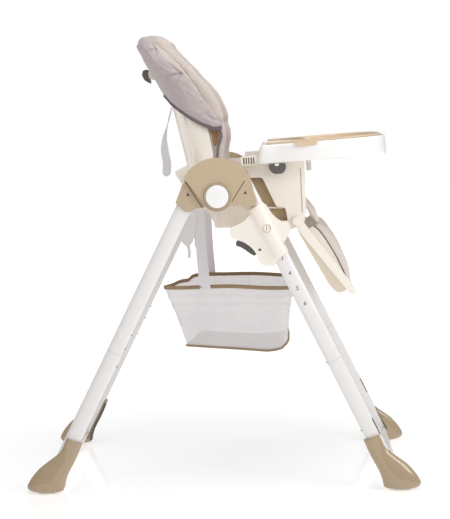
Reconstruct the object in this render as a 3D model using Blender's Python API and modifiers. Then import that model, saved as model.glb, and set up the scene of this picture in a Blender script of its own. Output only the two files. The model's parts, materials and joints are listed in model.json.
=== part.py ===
"""Folding baby high chair, in metres with +Z up. The child faces -Y and the chair stands on z = 0.

Right and left are the seated child's: right is -X. Side pieces are built by one function, once for each side.
"""

import math

import bmesh
import bpy
from mathutils import Matrix, Vector

GAP = 0.0004

# Fold hub: the axis that both pairs of legs meet at.
HUB_Z = 0.685
HUB_RADIUS = 0.087
HUB_RING = 0.034
BUTTON_RADIUS = 0.0262
AXLE_RADIUS = 0.006

# Legs: oval tubes, wide in the plane that they fold in.
LEG_X = 0.262
LEG_HALF_X = 0.010
LEG_HALF_WIDTH = 0.018
TUBE_WALL = 0.0015
LEG_FACETS = 20
FRONT_LEAN = math.radians(26.0)
REAR_LEAN = math.radians(26.8)
FRONT_OFFSET = 0.067
REAR_OFFSET = 0.058
LEG_END_Z = 0.024

# Across the chair, from the seat out to the hub covers.
SEAT_WALL_IN = 0.200
SEAT_WALL_OUT = 0.206
PLATE_IN = 0.2435
PLATE_OUT = 0.2485
SOCKET_IN = 0.2492
SOCKET_OUT = 0.2756
COVER_IN = 0.2765
COVER_OUT = 0.2885
RIM_WALL = 0.0052

# Height adjustment: six stops along the front legs.
HEIGHT_STOPS = 6
STOP_PITCH = 0.0387
FIRST_STOP = 0.116
PIN_RADIUS = 0.004

# Seat, backrest, tray and leg rest.
SEAT_FLOOR_Z = 0.650
BACK_PIVOT = (0.045, 0.700)
BACK_BOTTOM_Z = 0.715
BACK_TOP_Z = 1.036
COVER_TOP_Z = 1.063
SHELL_WALL = 0.0036
LEG_REST_PIVOT = (-0.180, 0.621)
LEG_REST_LEAN = math.radians(37.6)
LEG_REST_LENGTH = 0.215
TRAY_ORIGIN = (-0.088, 0.752)
TRAY_TILT = math.radians(3.5)
TRAY_HALF_WIDTH = 0.250
TRAY_FRONT = 0.312
ARMREST_X = (0.197, 0.222)

SIDES = {"right": -1, "left": 1}


# ---------------------------------------------------------------- scene and materials

def clear_scene():
    for obj in list(bpy.data.objects):
        bpy.data.objects.remove(obj, do_unlink=True)


def collection(name):
    made = bpy.data.collections.new(name)
    bpy.context.scene.collection.children.link(made)
    return made


def material(name, color, roughness, metallic=0.0):
    made = bpy.data.materials.new(name)
    made.use_nodes = True
    shader = made.node_tree.nodes["Principled BSDF"]
    shader.inputs["Base Color"].default_value = (*color, 1.0)
    shader.inputs["Roughness"].default_value = roughness
    shader.inputs["Metallic"].default_value = metallic
    return made


clear_scene()
CHAIR = collection("baby_high_chair")
CUTTERS = collection("cutters")
CUTTERS.hide_render = True

WHITE_TUBE = material("white_enamel", (0.80, 0.78, 0.76), 0.30)
BEIGE = material("beige_plastic", (0.55, 0.41, 0.27), 0.38)
CREAM = material("cream_plastic", (0.86, 0.80, 0.72), 0.40)
WHITE = material("white_plastic", (0.84, 0.83, 0.82), 0.30)
DARK = material("dark_grey_plastic", (0.09, 0.085, 0.08), 0.45)
RUBBER = material("black_rubber", (0.03, 0.03, 0.03), 0.80)
STEEL = material("zinc_steel", (0.62, 0.61, 0.60), 0.28, 1.0)
FABRIC = material("taupe_fabric", (0.60, 0.52, 0.48), 0.90)
WEBBING = material("white_webbing", (0.80, 0.79, 0.80), 0.85)
MESH_NET = material("white_mesh_net", (0.82, 0.81, 0.80), 0.90)


# ---------------------------------------------------------------- building helpers

def add_mesh(name, mesh, mat, helper=False):
    obj = bpy.data.objects.new(name, mesh)
    (CUTTERS if helper else CHAIR).objects.link(obj)
    if helper:
        obj.hide_render = True
        obj.display_type = "WIRE"
    mesh.materials.clear()
    mesh.materials.append(mat)
    return obj


def smooth(obj, degrees=35.0):
    obj.data.shade_smooth()
    obj.data.set_sharp_from_angle(angle=math.radians(degrees))
    return obj


def mesh_from(bm, name):
    bmesh.ops.recalc_face_normals(bm, faces=bm.faces)
    mesh = bpy.data.meshes.new(name)
    bm.to_mesh(mesh)
    bm.free()
    return mesh


def flat_outline(name, points, low, high, basis, mat, helper):
    """A closed flat outline, made thick from low to high along the outline's own normal."""
    curve = bpy.data.curves.new(name, "CURVE")
    curve.dimensions = "2D"
    curve.fill_mode = "BOTH"
    curve.extrude = (high - low) / 2
    spline = curve.splines.new("POLY")
    spline.points.add(len(points) - 1)
    for target, (a, b) in zip(spline.points, points):
        target.co = (a, b, 0.0, 1.0)
    spline.use_cyclic_u = True
    guide = bpy.data.objects.new(name + "_outline", curve)
    CUTTERS.objects.link(guide)
    bpy.context.view_layer.update()
    graph = bpy.context.evaluated_depsgraph_get()
    mesh = bpy.data.meshes.new_from_object(guide.evaluated_get(graph))
    bpy.data.objects.remove(guide, do_unlink=True)
    bm = bmesh.new()
    bm.from_mesh(mesh)
    bmesh.ops.remove_doubles(bm, verts=bm.verts, dist=1e-6)
    bmesh.ops.translate(bm, verts=bm.verts, vec=(0, 0, (low + high) / 2))
    bmesh.ops.transform(bm, verts=bm.verts, matrix=basis)
    bpy.data.meshes.remove(mesh)
    return add_mesh(name, mesh_from(bm, name), mat, helper)


SIDE_VIEW = Matrix(((0, 0, 1, 0), (1, 0, 0, 0), (0, 1, 0, 0), (0, 0, 0, 1)))
PLAN_VIEW = Matrix.Identity(4)


def side_plate(name, points, x_span, mat, helper=False):
    """An outline of (y, z) points, thick across the chair."""
    return flat_outline(name, points, min(x_span), max(x_span), SIDE_VIEW, mat, helper)


def plan_plate(name, points, z_span, mat, helper=False):
    """An outline of (x, y) points, thick in height."""
    return flat_outline(name, points, min(z_span), max(z_span), PLAN_VIEW, mat, helper)


def box(name, x_span, y_span, z_span, mat, helper=False):
    bm = bmesh.new()
    bmesh.ops.create_cube(bm, size=1.0)
    spans = [sorted(span) for span in (x_span, y_span, z_span)]
    size = [high - low for low, high in spans]
    middle = [(high + low) / 2 for low, high in spans]
    bmesh.ops.scale(bm, verts=bm.verts, vec=size)
    bmesh.ops.translate(bm, verts=bm.verts, vec=middle)
    return add_mesh(name, mesh_from(bm, name), mat, helper)


def cylinder_x(name, centre, radius, x_span, mat, segments=32, helper=False, end_radius=None):
    """A round piece along X; end_radius, where given, is the radius at its outer end."""
    low, high = sorted(x_span)
    outer_first = abs(low) > abs(high)
    radii = [radius, radius if end_radius is None else end_radius]
    if outer_first:
        radii.reverse()
    bm = bmesh.new()
    bmesh.ops.create_cone(
        bm, cap_ends=True, segments=segments, radius1=radii[0], radius2=radii[1], depth=high - low
    )
    turn = Matrix.Rotation(math.radians(90), 4, "Y")
    place = Matrix.Translation(((low + high) / 2, centre[0], centre[1]))
    bmesh.ops.transform(bm, verts=bm.verts, matrix=place @ turn)
    return add_mesh(name, mesh_from(bm, name), mat, helper)


def combine(obj, other, operation):
    other.hide_render = True
    other.display_type = "WIRE"
    for holder in list(other.users_collection):
        holder.objects.unlink(other)
    CUTTERS.objects.link(other)
    step = obj.modifiers.new(other.name, "BOOLEAN")
    step.operation = operation
    step.solver = "EXACT"
    step.object = other
    return obj


def cut(obj, *others):
    for other in others:
        combine(obj, other, "DIFFERENCE")
    return obj


def join(obj, *others):
    for other in others:
        combine(obj, other, "UNION")
    return obj


def arc(centre, radius, start, end, count):
    """Points on an arc, with angles in degrees measured from +Y towards +Z."""
    made = []
    for index in range(count + 1):
        angle = math.radians(start + (end - start) * index / count)
        made.append((centre[0] + radius * math.cos(angle), centre[1] + radius * math.sin(angle)))
    return made


def loft(name, sections, mat, helper=False):
    """A closed solid through rings of equal length, capped at both ends."""
    bm = bmesh.new()
    rings = [[bm.verts.new(point) for point in section] for section in sections]
    count = len(rings[0])
    for ring, following in zip(rings, rings[1:]):
        for index in range(count):
            after = (index + 1) % count
            bm.faces.new((ring[index], ring[after], following[after], following[index]))
    caps = [bm.faces.new(list(reversed(rings[0]))), bm.faces.new(rings[-1])]
    bm.normal_update()
    bmesh.ops.triangulate(bm, faces=caps)
    return add_mesh(name, mesh_from(bm, name), mat, helper)


def pivot(name, centre, parent=None):
    """An empty on a joint's axis, which carries the pieces of one moving body."""
    empty = bpy.data.objects.new(name, None)
    empty.empty_display_size = 0.03
    empty.location = (0.0, centre[0], centre[1])
    CHAIR.objects.link(empty)
    bpy.context.view_layer.update()
    if parent:
        hold(parent, empty)
    return empty


def hold(parent, *pieces):
    bpy.context.view_layer.update()
    for piece in pieces:
        piece.parent = parent
        piece.matrix_parent_inverse = parent.matrix_world.inverted()


def across(side, inner, outer):
    """A span across the chair on one side, from distances out from the middle."""
    return (SIDES[side] * inner, SIDES[side] * outer)


# ---------------------------------------------------------------- leg geometry

class LegAxis:
    """A leg's axis in side view. Distance 0 is the point nearest the hub, and it grows towards the foot."""

    def __init__(self, direction, lean, offset):
        self.direction = direction
        self.lean = lean
        self.down = (direction * math.sin(lean), -math.cos(lean))
        self.out = (direction * math.cos(lean), math.sin(lean))
        self.start = (self.out[0] * offset, HUB_Z + self.out[1] * offset)

    def at(self, distance, outward=0.0):
        return tuple(
            self.start[axis] + self.down[axis] * distance + self.out[axis] * outward for axis in (0, 1)
        )

    def reach(self, z):
        return (self.start[1] - z) / -self.down[1]

    def strip(self, near, far, inside, outside):
        """A rectangle along the leg: near and far along it, inside and outside across it."""
        return [self.at(near, inside), self.at(near, outside), self.at(far, outside), self.at(far, inside)]


FRONT = LegAxis(-1, FRONT_LEAN, FRONT_OFFSET)
REAR = LegAxis(1, REAR_LEAN, REAR_OFFSET)
LEG_TOP = -0.002


def oval_sections(axis, x, near, far, half_x, half_width, segments):
    rings = []
    for distance in (near, far):
        ring = []
        for index in range(segments):
            angle = 2 * math.pi * index / segments
            y, z = axis.at(distance, half_width * math.sin(angle))
            ring.append((x + half_x * math.cos(angle), y, z))
        rings.append(ring)
    return rings


def leg_tube(name, axis, side, holes):
    """An oval tube, open at both ends, with a hole on its inner face for each height stop."""
    x = SIDES[side] * LEG_X
    end = axis.reach(LEG_END_Z)
    sections = oval_sections(axis, x, LEG_TOP, end, LEG_HALF_X, LEG_HALF_WIDTH, LEG_FACETS)
    leg = loft(name, sections, WHITE_TUBE)
    bore_sections = oval_sections(
        axis, x, LEG_TOP - 0.01, end + 0.01, LEG_HALF_X - TUBE_WALL, LEG_HALF_WIDTH - TUBE_WALL, LEG_FACETS
    )
    cut(leg, loft(name + "_bore", bore_sections, WHITE_TUBE, helper=True))
    for stop in range(holes):
        centre = axis.at(FIRST_STOP + stop * STOP_PITCH)
        span = across(side, LEG_X - 0.014, LEG_X - 0.004)
        cut(leg, cylinder_x(f"{name}_stop_{stop}", centre, PIN_RADIUS + 0.0008, span, STEEL, 8, True))
    return smooth(leg)


def cross_tube(name, axis):
    """The low tube that ties one pair of legs together."""
    y, z = axis.at(axis.reach(0.030))
    reach = LEG_X - LEG_HALF_X - GAP
    bm = bmesh.new()
    bmesh.ops.create_cone(bm, cap_ends=False, segments=LEG_FACETS, radius1=1, radius2=1, depth=2 * reach)
    bmesh.ops.scale(bm, verts=bm.verts, vec=(0.013, 0.018, 1.0))
    turn = Matrix.Rotation(math.radians(90), 4, "Y")
    bmesh.ops.transform(bm, verts=bm.verts, matrix=Matrix.Translation((0, y, z)) @ turn)
    tube = add_mesh(name, mesh_from(bm, name), WHITE_TUBE)
    wall = tube.modifiers.new("wall", "SOLIDIFY")
    wall.thickness = TUBE_WALL
    wall.offset = -1
    return smooth(tube)


# ---------------------------------------------------------------- feet

FOOT_X = (LEG_X - 0.0085, LEG_X + 0.0245)
SOLE_Z = 0.0012
PAD_TOP = 0.0045


def foot_outline(axis):
    """The boot in side view: a collar on the leg, a flared toe and a flat sole."""
    collar = axis.reach(0.125)
    toe = axis.direction * 0.4575
    ankle = axis.at(collar, 0.0195)
    heel_top = axis.at(collar, -0.0205)
    instep = [
        (toe - axis.direction * 0.0470, 0.0690),
        (toe - axis.direction * 0.0330, 0.0575),
        (toe - axis.direction * 0.0190, 0.0415),
        (toe - axis.direction * 0.0075, 0.0275),
        (toe, 0.0180),
        (toe - axis.direction * 0.0040, 0.0080),
        (toe - axis.direction * 0.0180, SOLE_Z),
    ]
    sole = [
        (toe - axis.direction * 0.0740, SOLE_Z),
        (toe - axis.direction * 0.0830, 0.0080),
        (toe - axis.direction * 0.0880, 0.0300),
        axis.at(axis.reach(0.066), -0.0215),
    ]
    throat = axis.at(axis.reach(0.096), 0.0225)
    return [ankle, throat] + instep + sole + [heel_top]


def foot(name, axis, side):
    """A boot over the outside, front and back of the leg's end; its inner side is open."""
    inner, outer = FOOT_X
    outline = foot_outline(axis)
    middle = (sum(y for y, _ in outline) / len(outline), sum(z for _, z in outline) / len(outline))
    sections = []
    for x, share in ((inner, 1.0), (outer - 0.0085, 1.0), (outer - 0.0030, 0.93), (outer, 0.80)):
        ring = [
            (SIDES[side] * x, middle[0] + (y - middle[0]) * share, middle[1] + (z - middle[1]) * share)
            for y, z in outline
        ]
        sections.append(ring)
    boot = loft(name, sections, BEIGE)
    leg_end = axis.reach(LEG_END_Z)
    slot = axis.strip(leg_end - 0.2, leg_end + GAP, -LEG_HALF_WIDTH - GAP, LEG_HALF_WIDTH + GAP)
    slot_span = across(side, inner - 0.02, LEG_X + LEG_HALF_X + GAP)
    cut(boot, side_plate(name + "_slot", slot, slot_span, BEIGE, True))
    toe = axis.direction * 0.4575
    recess_y = (toe - axis.direction * 0.0205, toe - axis.direction * 0.0715)
    recess_x = across(side, inner + 0.0035, outer - 0.0045)
    cut(boot, box(name + "_recess", recess_x, recess_y, (-0.01, PAD_TOP + GAP), RUBBER, True))
    return smooth(boot)


def foot_pad(name, axis, side):
    """The rubber sole that carries the weight."""
    inner, outer = FOOT_X
    toe = axis.direction * 0.4575
    y_span = (toe - axis.direction * 0.0215, toe - axis.direction * 0.0705)
    return box(name, across(side, inner + 0.0045, outer - 0.0055), y_span, (0.0, PAD_TOP), RUBBER)


# ---------------------------------------------------------------- fold hub

def from_hub(points):
    return [(y, HUB_Z + z) for y, z in points]


def hub_outline():
    """The arc over the hub, the wing over the front leg and the ring round the button."""
    arch = arc((0, 0), HUB_RADIUS, 31, 149, 18)
    wing = [(-0.0897, -0.0134), (-0.0905, -0.0165), (-0.0745, -0.0263), (-0.0690, -0.0325)]
    wing += [(-0.0640, -0.0310), (-0.0550, -0.0225), (-0.0400, -0.0215)]
    ring = arc((0, 0), HUB_RING, 218, 322, 9)
    return from_hub(arch + wing + ring)


def hub_clamp(side, inner, outer):
    """The pad that holds the front leg against one of the hub's plates."""
    points = FRONT.strip(0.006, 0.040, -0.012, 0.004)
    return side_plate(f"hub_clamp_{side}_{round(inner * 10000)}", points, across(side, inner, outer), BEIGE)


def hub_disc(name, side, radius, inner, outer, mat=BEIGE, segments=32):
    """A round piece on the hub's axis, between two distances from the chair's middle."""
    return cylinder_x(name, (0, HUB_Z), radius, across(side, inner, outer), mat, segments)


def hub_cover(side):
    plate = side_plate(f"hub_cover_{side}", hub_outline(), across(side, COVER_IN, COVER_OUT), BEIGE)
    hub = (0, HUB_Z)
    rim_points = arc(hub, HUB_RADIUS - 0.0007, 36, 138, 14) + arc(hub, HUB_RADIUS - RIM_WALL, 138, 36, 14)
    rim = side_plate(f"hub_rim_{side}", rim_points, across(side, PLATE_OUT + GAP, COVER_IN + 0.004), BEIGE)
    ring = hub_disc(f"hub_ring_{side}", side, HUB_RING + 0.0008, COVER_OUT - 0.002, 0.2925)
    join(plate, rim, ring, hub_clamp(side, LEG_X + LEG_HALF_X + GAP, COVER_IN + 0.003))
    cut(plate, hub_disc(f"hub_well_{side}", side, BUTTON_RADIUS + 0.0008, 0.24, 0.31))
    return smooth(plate)


def hub_inner_plate(side):
    name = f"hub_inner_plate_{side}"
    plate = side_plate(name, hub_outline(), across(side, PLATE_IN, PLATE_OUT), BEIGE)
    join(plate, hub_clamp(side, PLATE_OUT - 0.002, LEG_X - LEG_HALF_X - GAP))
    bore = hub_disc(name + "_bore", side, AXLE_RADIUS + GAP, 0.23, 0.26, STEEL, 24)
    return smooth(cut(plate, bore))


def hub_axle(side):
    name = f"hub_axle_{side}"
    shaft = hub_disc(name, side, AXLE_RADIUS, PLATE_IN - 0.0015, COVER_IN - GAP, STEEL, 24)
    head = hub_disc(name + "_head", side, 0.010, PLATE_IN - 0.0035, PLATE_IN - GAP, STEEL, 24)
    return smooth(join(shaft, head))


def rear_hub_socket(side):
    """The wing that holds the rear leg and turns on the hub's axle."""
    name = f"rear_hub_socket_{side}"
    edge = [(0.0665, 0.0375), (0.0797, 0.0280), (0.0965, -0.0135), (0.0600, -0.0390), (0.0500, -0.0275)]
    edge += [(0.0297, -0.0240), (0.0120, -0.0240), (0.0120, 0.0200)]
    wing = side_plate(name, from_hub(edge), across(side, SOCKET_IN, SOCKET_OUT), BEIGE)
    disc = hub_disc(name + "_disc", side, 0.030, SOCKET_IN, SOCKET_OUT, BEIGE, 28)
    join(wing, disc)
    clearance = GAP + 0.0001
    sections = oval_sections(
        REAR,
        SIDES[side] * LEG_X,
        LEG_TOP - 0.0003,
        0.15,
        LEG_HALF_X + clearance,
        LEG_HALF_WIDTH + clearance,
        LEG_FACETS,
    )
    bore = hub_disc(name + "_bore", side, AXLE_RADIUS + GAP, 0.23, 0.29, STEEL, 24)
    return smooth(cut(wing, loft(name + "_slot", sections, BEIGE, True), bore))


def fold_button(side):
    cap = hub_disc(f"fold_button_{side}", side, BUTTON_RADIUS, 0.2868, 0.2950, WHITE)
    dome_span = across(side, 0.2940, 0.2965)
    dome = cylinder_x(f"fold_dome_{side}", (0, HUB_Z), BUTTON_RADIUS, dome_span, WHITE, 32, False, 0.0235)
    return smooth(join(cap, dome))


def fold_button_spring(side):
    """The coil that pushes the button back out."""
    turns = 3.5
    per_turn = 10
    radius = 0.0130
    wire = 0.0006
    near, far = 0.2766, 0.2858
    curve = bpy.data.curves.new(f"fold_button_spring_{side}", "CURVE")
    curve.dimensions = "3D"
    curve.bevel_depth = wire
    curve.bevel_resolution = 0
    curve.use_fill_caps = True
    spline = curve.splines.new("POLY")
    count = int(turns * per_turn) + 1
    spline.points.add(count - 1)
    for index in range(count):
        angle = 2 * math.pi * index / per_turn
        x = near + (far - near) * index / (count - 1)
        spline.points[index].co = (
            SIDES[side] * x, radius * math.cos(angle), HUB_Z + radius * math.sin(angle), 1.0
        )
    curve.materials.append(STEEL)
    spring = bpy.data.objects.new(curve.name, curve)
    CHAIR.objects.link(spring)
    return spring


# ---------------------------------------------------------------- height carriage

CARRIAGE = [
    (-0.0990, 0.6600), (-0.0740, 0.6420), (-0.0580, 0.6265), (-0.0330, 0.6150), (-0.0265, 0.6080),
    (-0.0265, 0.5980), (-0.0330, 0.5880), (-0.0480, 0.5830), (-0.0620, 0.5770), (-0.0780, 0.5640),
    (-0.0870, 0.5500), (-0.0900, 0.5380), (-0.0985, 0.5280), (-0.1110, 0.5235), (-0.1300, 0.5270),
    (-0.1455, 0.5700), (-0.1550, 0.5850), (-0.1625, 0.5980), (-0.1645, 0.6110), (-0.1580, 0.6230),
    (-0.1410, 0.6265), (-0.1240, 0.6420), (-0.1130, 0.6590), (-0.1080, 0.6640),
]
TRIGGER_POCKET = [
    (-0.0360, 0.6030), (-0.0360, 0.5650), (-0.0860, 0.5400), (-0.1020, 0.5560), (-0.1050, 0.5800),
    (-0.0800, 0.5980),
]
TRIGGER_PIVOT = (-0.0975, 0.5700)
SPLIT_X = 0.2622
CARRIAGE_SPAN = (0.2475, 0.2765)
POCKET_SPAN = (0.2560, 0.2690)


def carriage_slot(name, side):
    clearance = 0.0006
    sections = oval_sections(
        FRONT, SIDES[side] * LEG_X, 0.0, 0.3, LEG_HALF_X + clearance, LEG_HALF_WIDTH + clearance, LEG_FACETS
    )
    return loft(name + "_slot", sections, CREAM, True)


def trigger_pocket(name, side):
    return side_plate(name + "_pocket", TRIGGER_POCKET, across(side, *POCKET_SPAN), CREAM, True)


def carriage_outer(side):
    """The outer half of the bracket that slides on the front leg, with the ridge and the stop window."""
    name = f"carriage_outer_{side}"
    half = side_plate(name, CARRIAGE, across(side, SPLIT_X + GAP, CARRIAGE_SPAN[1]), CREAM)
    ridge = loft(
        name + "_ridge",
        oval_sections(FRONT, SIDES[side] * (LEG_X + 0.004), 0.060, 0.186, 0.0165, 0.0200, LEG_FACETS),
        CREAM,
        True,
    )
    inner_half = box(name + "_trim", across(side, 0.20, SPLIT_X + GAP), (-0.3, 0.1), (0.4, 0.8), CREAM, True)
    window = cylinder_x(name + "_window", FRONT.at(FIRST_STOP), 0.0105, across(side, 0.268, 0.30), CREAM, 28)
    join(half, ridge)
    cut(half, inner_half, carriage_slot(name, side), trigger_pocket(name, side), window)
    return smooth(half)


def carriage_inner(side):
    """The inner half, with the neck that carries the seat and the bore of the lock pin."""
    name = f"carriage_inner_{side}"
    half = side_plate(name, CARRIAGE, across(side, CARRIAGE_SPAN[0], SPLIT_X), CREAM)
    neck_points = [(-0.0680, 0.5960), (-0.0680, 0.6180), (-0.0900, 0.6260), (-0.1350, 0.6240)]
    neck_points += [(-0.1480, 0.6100), (-0.1400, 0.5960)]
    neck_span = across(side, SEAT_WALL_OUT + GAP, CARRIAGE_SPAN[0] + 0.002)
    neck = side_plate(name + "_neck", neck_points, neck_span, CREAM)
    bore = cylinder_x(
        name + "_bore", FRONT.at(FIRST_STOP), PIN_RADIUS + GAP, across(side, 0.2300, 0.2560), STEEL, 16
    )
    return smooth(cut(join(half, neck), carriage_slot(name, side), trigger_pocket(name, side), bore))


def height_trigger(side):
    """The squeeze lever that draws the lock pin."""
    grip = [
        (-0.0395, 0.5790), (-0.0440, 0.5670), (-0.0570, 0.5640), (-0.0700, 0.5560), (-0.0840, 0.5480),
        (-0.0925, 0.5610), (-0.1015, 0.5660), (-0.1015, 0.5740), (-0.0950, 0.5765), (-0.0800, 0.5740),
        (-0.0600, 0.5860), (-0.0440, 0.5890),
    ]
    span = across(side, POCKET_SPAN[0] + GAP + 0.0006, POCKET_SPAN[1] - GAP - 0.0006)
    return smooth(side_plate(f"height_trigger_{side}", grip, span, DARK))


def height_lock_pin(side):
    span = across(side, 0.2400, 0.2515)
    return smooth(cylinder_x(f"height_lock_pin_{side}", FRONT.at(FIRST_STOP), PIN_RADIUS, span, STEEL, 16))


# ---------------------------------------------------------------- seat

SEAT_WALL = [
    (-0.2000, 0.7630), (-0.2030, 0.6450), (-0.1975, 0.6150), (-0.1850, 0.6035), (-0.1700, 0.6035),
    (-0.1560, 0.5950), (-0.0600, 0.5920), (-0.0320, 0.6080), (0.0060, 0.6070), (0.0250, 0.6460),
    (0.0650, 0.6600), (0.0850, 0.7120), (0.1020, 0.7390), (0.0750, 0.7530), (0.0000, 0.7560),
    (-0.0560, 0.7570),
]


def seat_shell():
    """The moulded seat: two side walls, the floor, a front lip, ribs under the floor and the armrests."""
    shell = side_plate("seat_shell", SEAT_WALL, (-SEAT_WALL_OUT, -SEAT_WALL_IN), CREAM)
    inner = SEAT_WALL_IN + 0.002
    left_wall = side_plate("seat_wall_left", SEAT_WALL, (SEAT_WALL_IN, SEAT_WALL_OUT), CREAM)
    floor_z = (SEAT_FLOOR_Z, SEAT_FLOOR_Z + 0.004)
    floor = box("seat_floor", (-inner, inner), (-0.197, 0.060), floor_z, CREAM)
    lip = box("seat_lip", (-inner, inner), (-0.2005, -0.1965), (0.628, SEAT_FLOOR_Z + 0.003), CREAM)
    heel = box("seat_heel", (-inner, inner), (0.0570, 0.0610), (SEAT_FLOOR_Z + 0.001, 0.676), CREAM)
    join(shell, left_wall, floor, lip, heel)
    rib_points = [(0.0240, 0.6520), (0.0110, 0.6100), (-0.0300, 0.6100), (-0.0520, 0.6180), (-0.0600, 0.6520)]
    for index, x in enumerate((-0.150, -0.050, 0.050, 0.150)):
        rib = side_plate(f"seat_rib_{index}", rib_points, (x - 0.002, x + 0.002), CREAM)
        join(shell, rib)
    for side in SIDES:
        join(shell, armrest(side))
        for centre, radius in ((BACK_PIVOT, 0.0064), (LEG_REST_PIVOT, 0.0054)):
            name = f"seat_bore_{side}_{round(radius * 10000)}"
            cut(shell, cylinder_x(name, centre, radius, across(side, 0.19, 0.216), STEEL, 20))
    return smooth(shell)


def in_tray_frame(obj):
    """Turns a piece made level at the tray's origin to the tray's tilt."""
    place = Matrix.Translation((0, TRAY_ORIGIN[0], TRAY_ORIGIN[1])) @ Matrix.Rotation(-TRAY_TILT, 4, "X")
    obj.data.transform(place)
    return obj


def armrest(side):
    """The rail that the tray slides on, with a toothed rear end."""
    name = f"armrest_{side}"
    rail = box(name, across(side, *ARMREST_X), (-0.112, 0.034), (0.0010, 0.0220), CREAM)
    for tooth in range(5):
        y = 0.004 + tooth * 0.0055
        notch_x = across(side, 0.218, 0.23)
        notch = box(f"{name}_notch_{tooth}", notch_x, (y, y + 0.0025), (0.004, 0.018), CREAM)
        cut(rail, in_tray_frame(notch))
    return in_tray_frame(rail)


def backrest_pin(side):
    name = f"backrest_pin_{side}"
    shaft = cylinder_x(name, BACK_PIVOT, 0.0060, across(side, 0.1830, SEAT_WALL_OUT + 0.001), STEEL, 20)
    head_span = across(side, SEAT_WALL_OUT + GAP, 0.2095)
    head = cylinder_x(name + "_head", BACK_PIVOT, 0.0095, head_span, STEEL, 20)
    return smooth(join(shaft, head))


def leg_rest_knob(side):
    """The round cap and pin that the leg rest turns on."""
    name = f"leg_rest_knob_{side}"
    pin = cylinder_x(name, LEG_REST_PIVOT, 0.0050, across(side, 0.1960, 0.2160), CREAM, 20)
    cap_span = across(side, 0.2151, 0.2215)
    cap = cylinder_x(name + "_cap", LEG_REST_PIVOT, 0.0112, cap_span, CREAM, 28, end_radius=0.0092)
    return smooth(join(pin, cap))


def seat_pad():
    cushion = box("seat_pad", (-0.186, 0.186), (-0.194, 0.012), (0.6546, 0.684), FABRIC)
    return rounded(cushion, 0.008)


def rounded(obj, width, segments=2):
    edge = obj.modifiers.new("rounding", "BEVEL")
    edge.width = width
    edge.segments = segments
    edge.limit_method = "ANGLE"
    edge.angle_limit = math.radians(40)
    return smooth(obj)


# ---------------------------------------------------------------- backrest

def between(value, table):
    """Straight-line reading of a table of (z, value) pairs."""
    for (low, first), (high, second) in zip(table, table[1:]):
        if value <= high:
            share = (value - low) / (high - low)
            return first + (second - first) * max(share, 0.0)
    return table[-1][1]


BACK_SPINE = [(0.715, 0.0665), (0.757, 0.0760), (0.890, 0.1080), (0.930, 0.1290), (1.036, 0.1900)]
BACK_WING = [(0.715, 0.060), (0.780, 0.070), (0.930, 0.076), (0.990, 0.066), (1.020, 0.052), (1.036, 0.034)]
BACK_HALF = [
    (0.715, 0.192), (0.760, 0.188), (0.800, 0.176), (0.900, 0.166), (0.960, 0.158), (1.000, 0.142),
    (1.036, 0.104),
]
# The exponent of the rounded square that the backrest follows in plan.
CURL = 2 / 3.2


def back_point(turn, z, forward=0.0):
    """A point of the backrest's middle surface: turn runs from -1 at the right wing to 1 at the left."""
    angle = turn * math.pi / 2
    half = between(z, BACK_HALF)
    depth = between(z, BACK_WING)
    spine = between(z, BACK_SPINE)
    sine = math.sin(angle)
    x = math.copysign(abs(sine) ** CURL, sine) * (half - forward)
    y = spine - forward - (depth - forward) * (1 - math.cos(angle) ** CURL if abs(turn) < 1 else 1)
    return Vector((x, y, z))


def back_heights(count, low, high):
    return [low + (high - low) * index / count for index in range(count + 1)]


BACK_TURNS = [-1, -0.94, -0.88, -0.74, -0.60, -0.42, -0.22, 0, 0.22, 0.42, 0.60, 0.74, 0.88, 0.94, 1]


def back_sheet(name, thickness, margin=0.0, helper=False):
    """The backrest's curved sheet, made solid about its middle surface and wider by a margin at its edges."""
    bm = bmesh.new()
    heights = [0.688] + back_heights(8, BACK_BOTTOM_Z, BACK_TOP_Z)
    heights[-1] += margin
    rows = []
    for z in heights:
        points = [back_point(turn, z) for turn in BACK_TURNS]
        for edge in (points[0], points[-1]):
            edge.y -= margin
        rows.append([bm.verts.new(point) for point in points])
    for row, above in zip(rows, rows[1:]):
        for index in range(len(BACK_TURNS) - 1):
            bm.faces.new((row[index], row[index + 1], above[index + 1], above[index]))
    sheet = add_mesh(name, mesh_from(bm, name), CREAM, helper)
    wall = sheet.modifiers.new("wall", "SOLIDIFY")
    wall.thickness = thickness
    wall.offset = 0
    return sheet


def backrest_shell():
    shell = back_sheet("backrest_shell", SHELL_WALL)
    for side in SIDES:
        cut(shell, cylinder_x(f"back_bore_{side}", BACK_PIVOT, 0.0064, across(side, 0.16, 0.22), STEEL, 20))
    return smooth(shell)


COVER_PAD = 0.0260
COVER_REACH = [
    (0.715, 0.088), (0.781, 0.103), (0.815, 0.118), (0.866, 0.123), (0.930, 0.122), (0.990, 0.108),
    (1.026, 0.092), (1.036, 0.084),
]
COVER_EDGE_TURN = 0.88


def cover_front(turn, z):
    """A point on the face that the child leans on; its wings reach further forward than the shell's."""
    spine = between(z, BACK_SPINE)
    reach = between(z, COVER_REACH)
    if abs(turn) > COVER_EDGE_TURN:
        side = math.copysign(between(z, BACK_HALF) - 0.0055, turn)
        return Vector((side, spine - reach + 0.010, z))
    share = 1 - math.cos(turn * math.pi / 2) ** CURL
    full = 1 - math.cos(COVER_EDGE_TURN * math.pi / 2) ** CURL
    y = spine - COVER_PAD - (reach - COVER_PAD) * share / full
    return Vector((back_point(turn, z, COVER_PAD).x, y, z))


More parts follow.
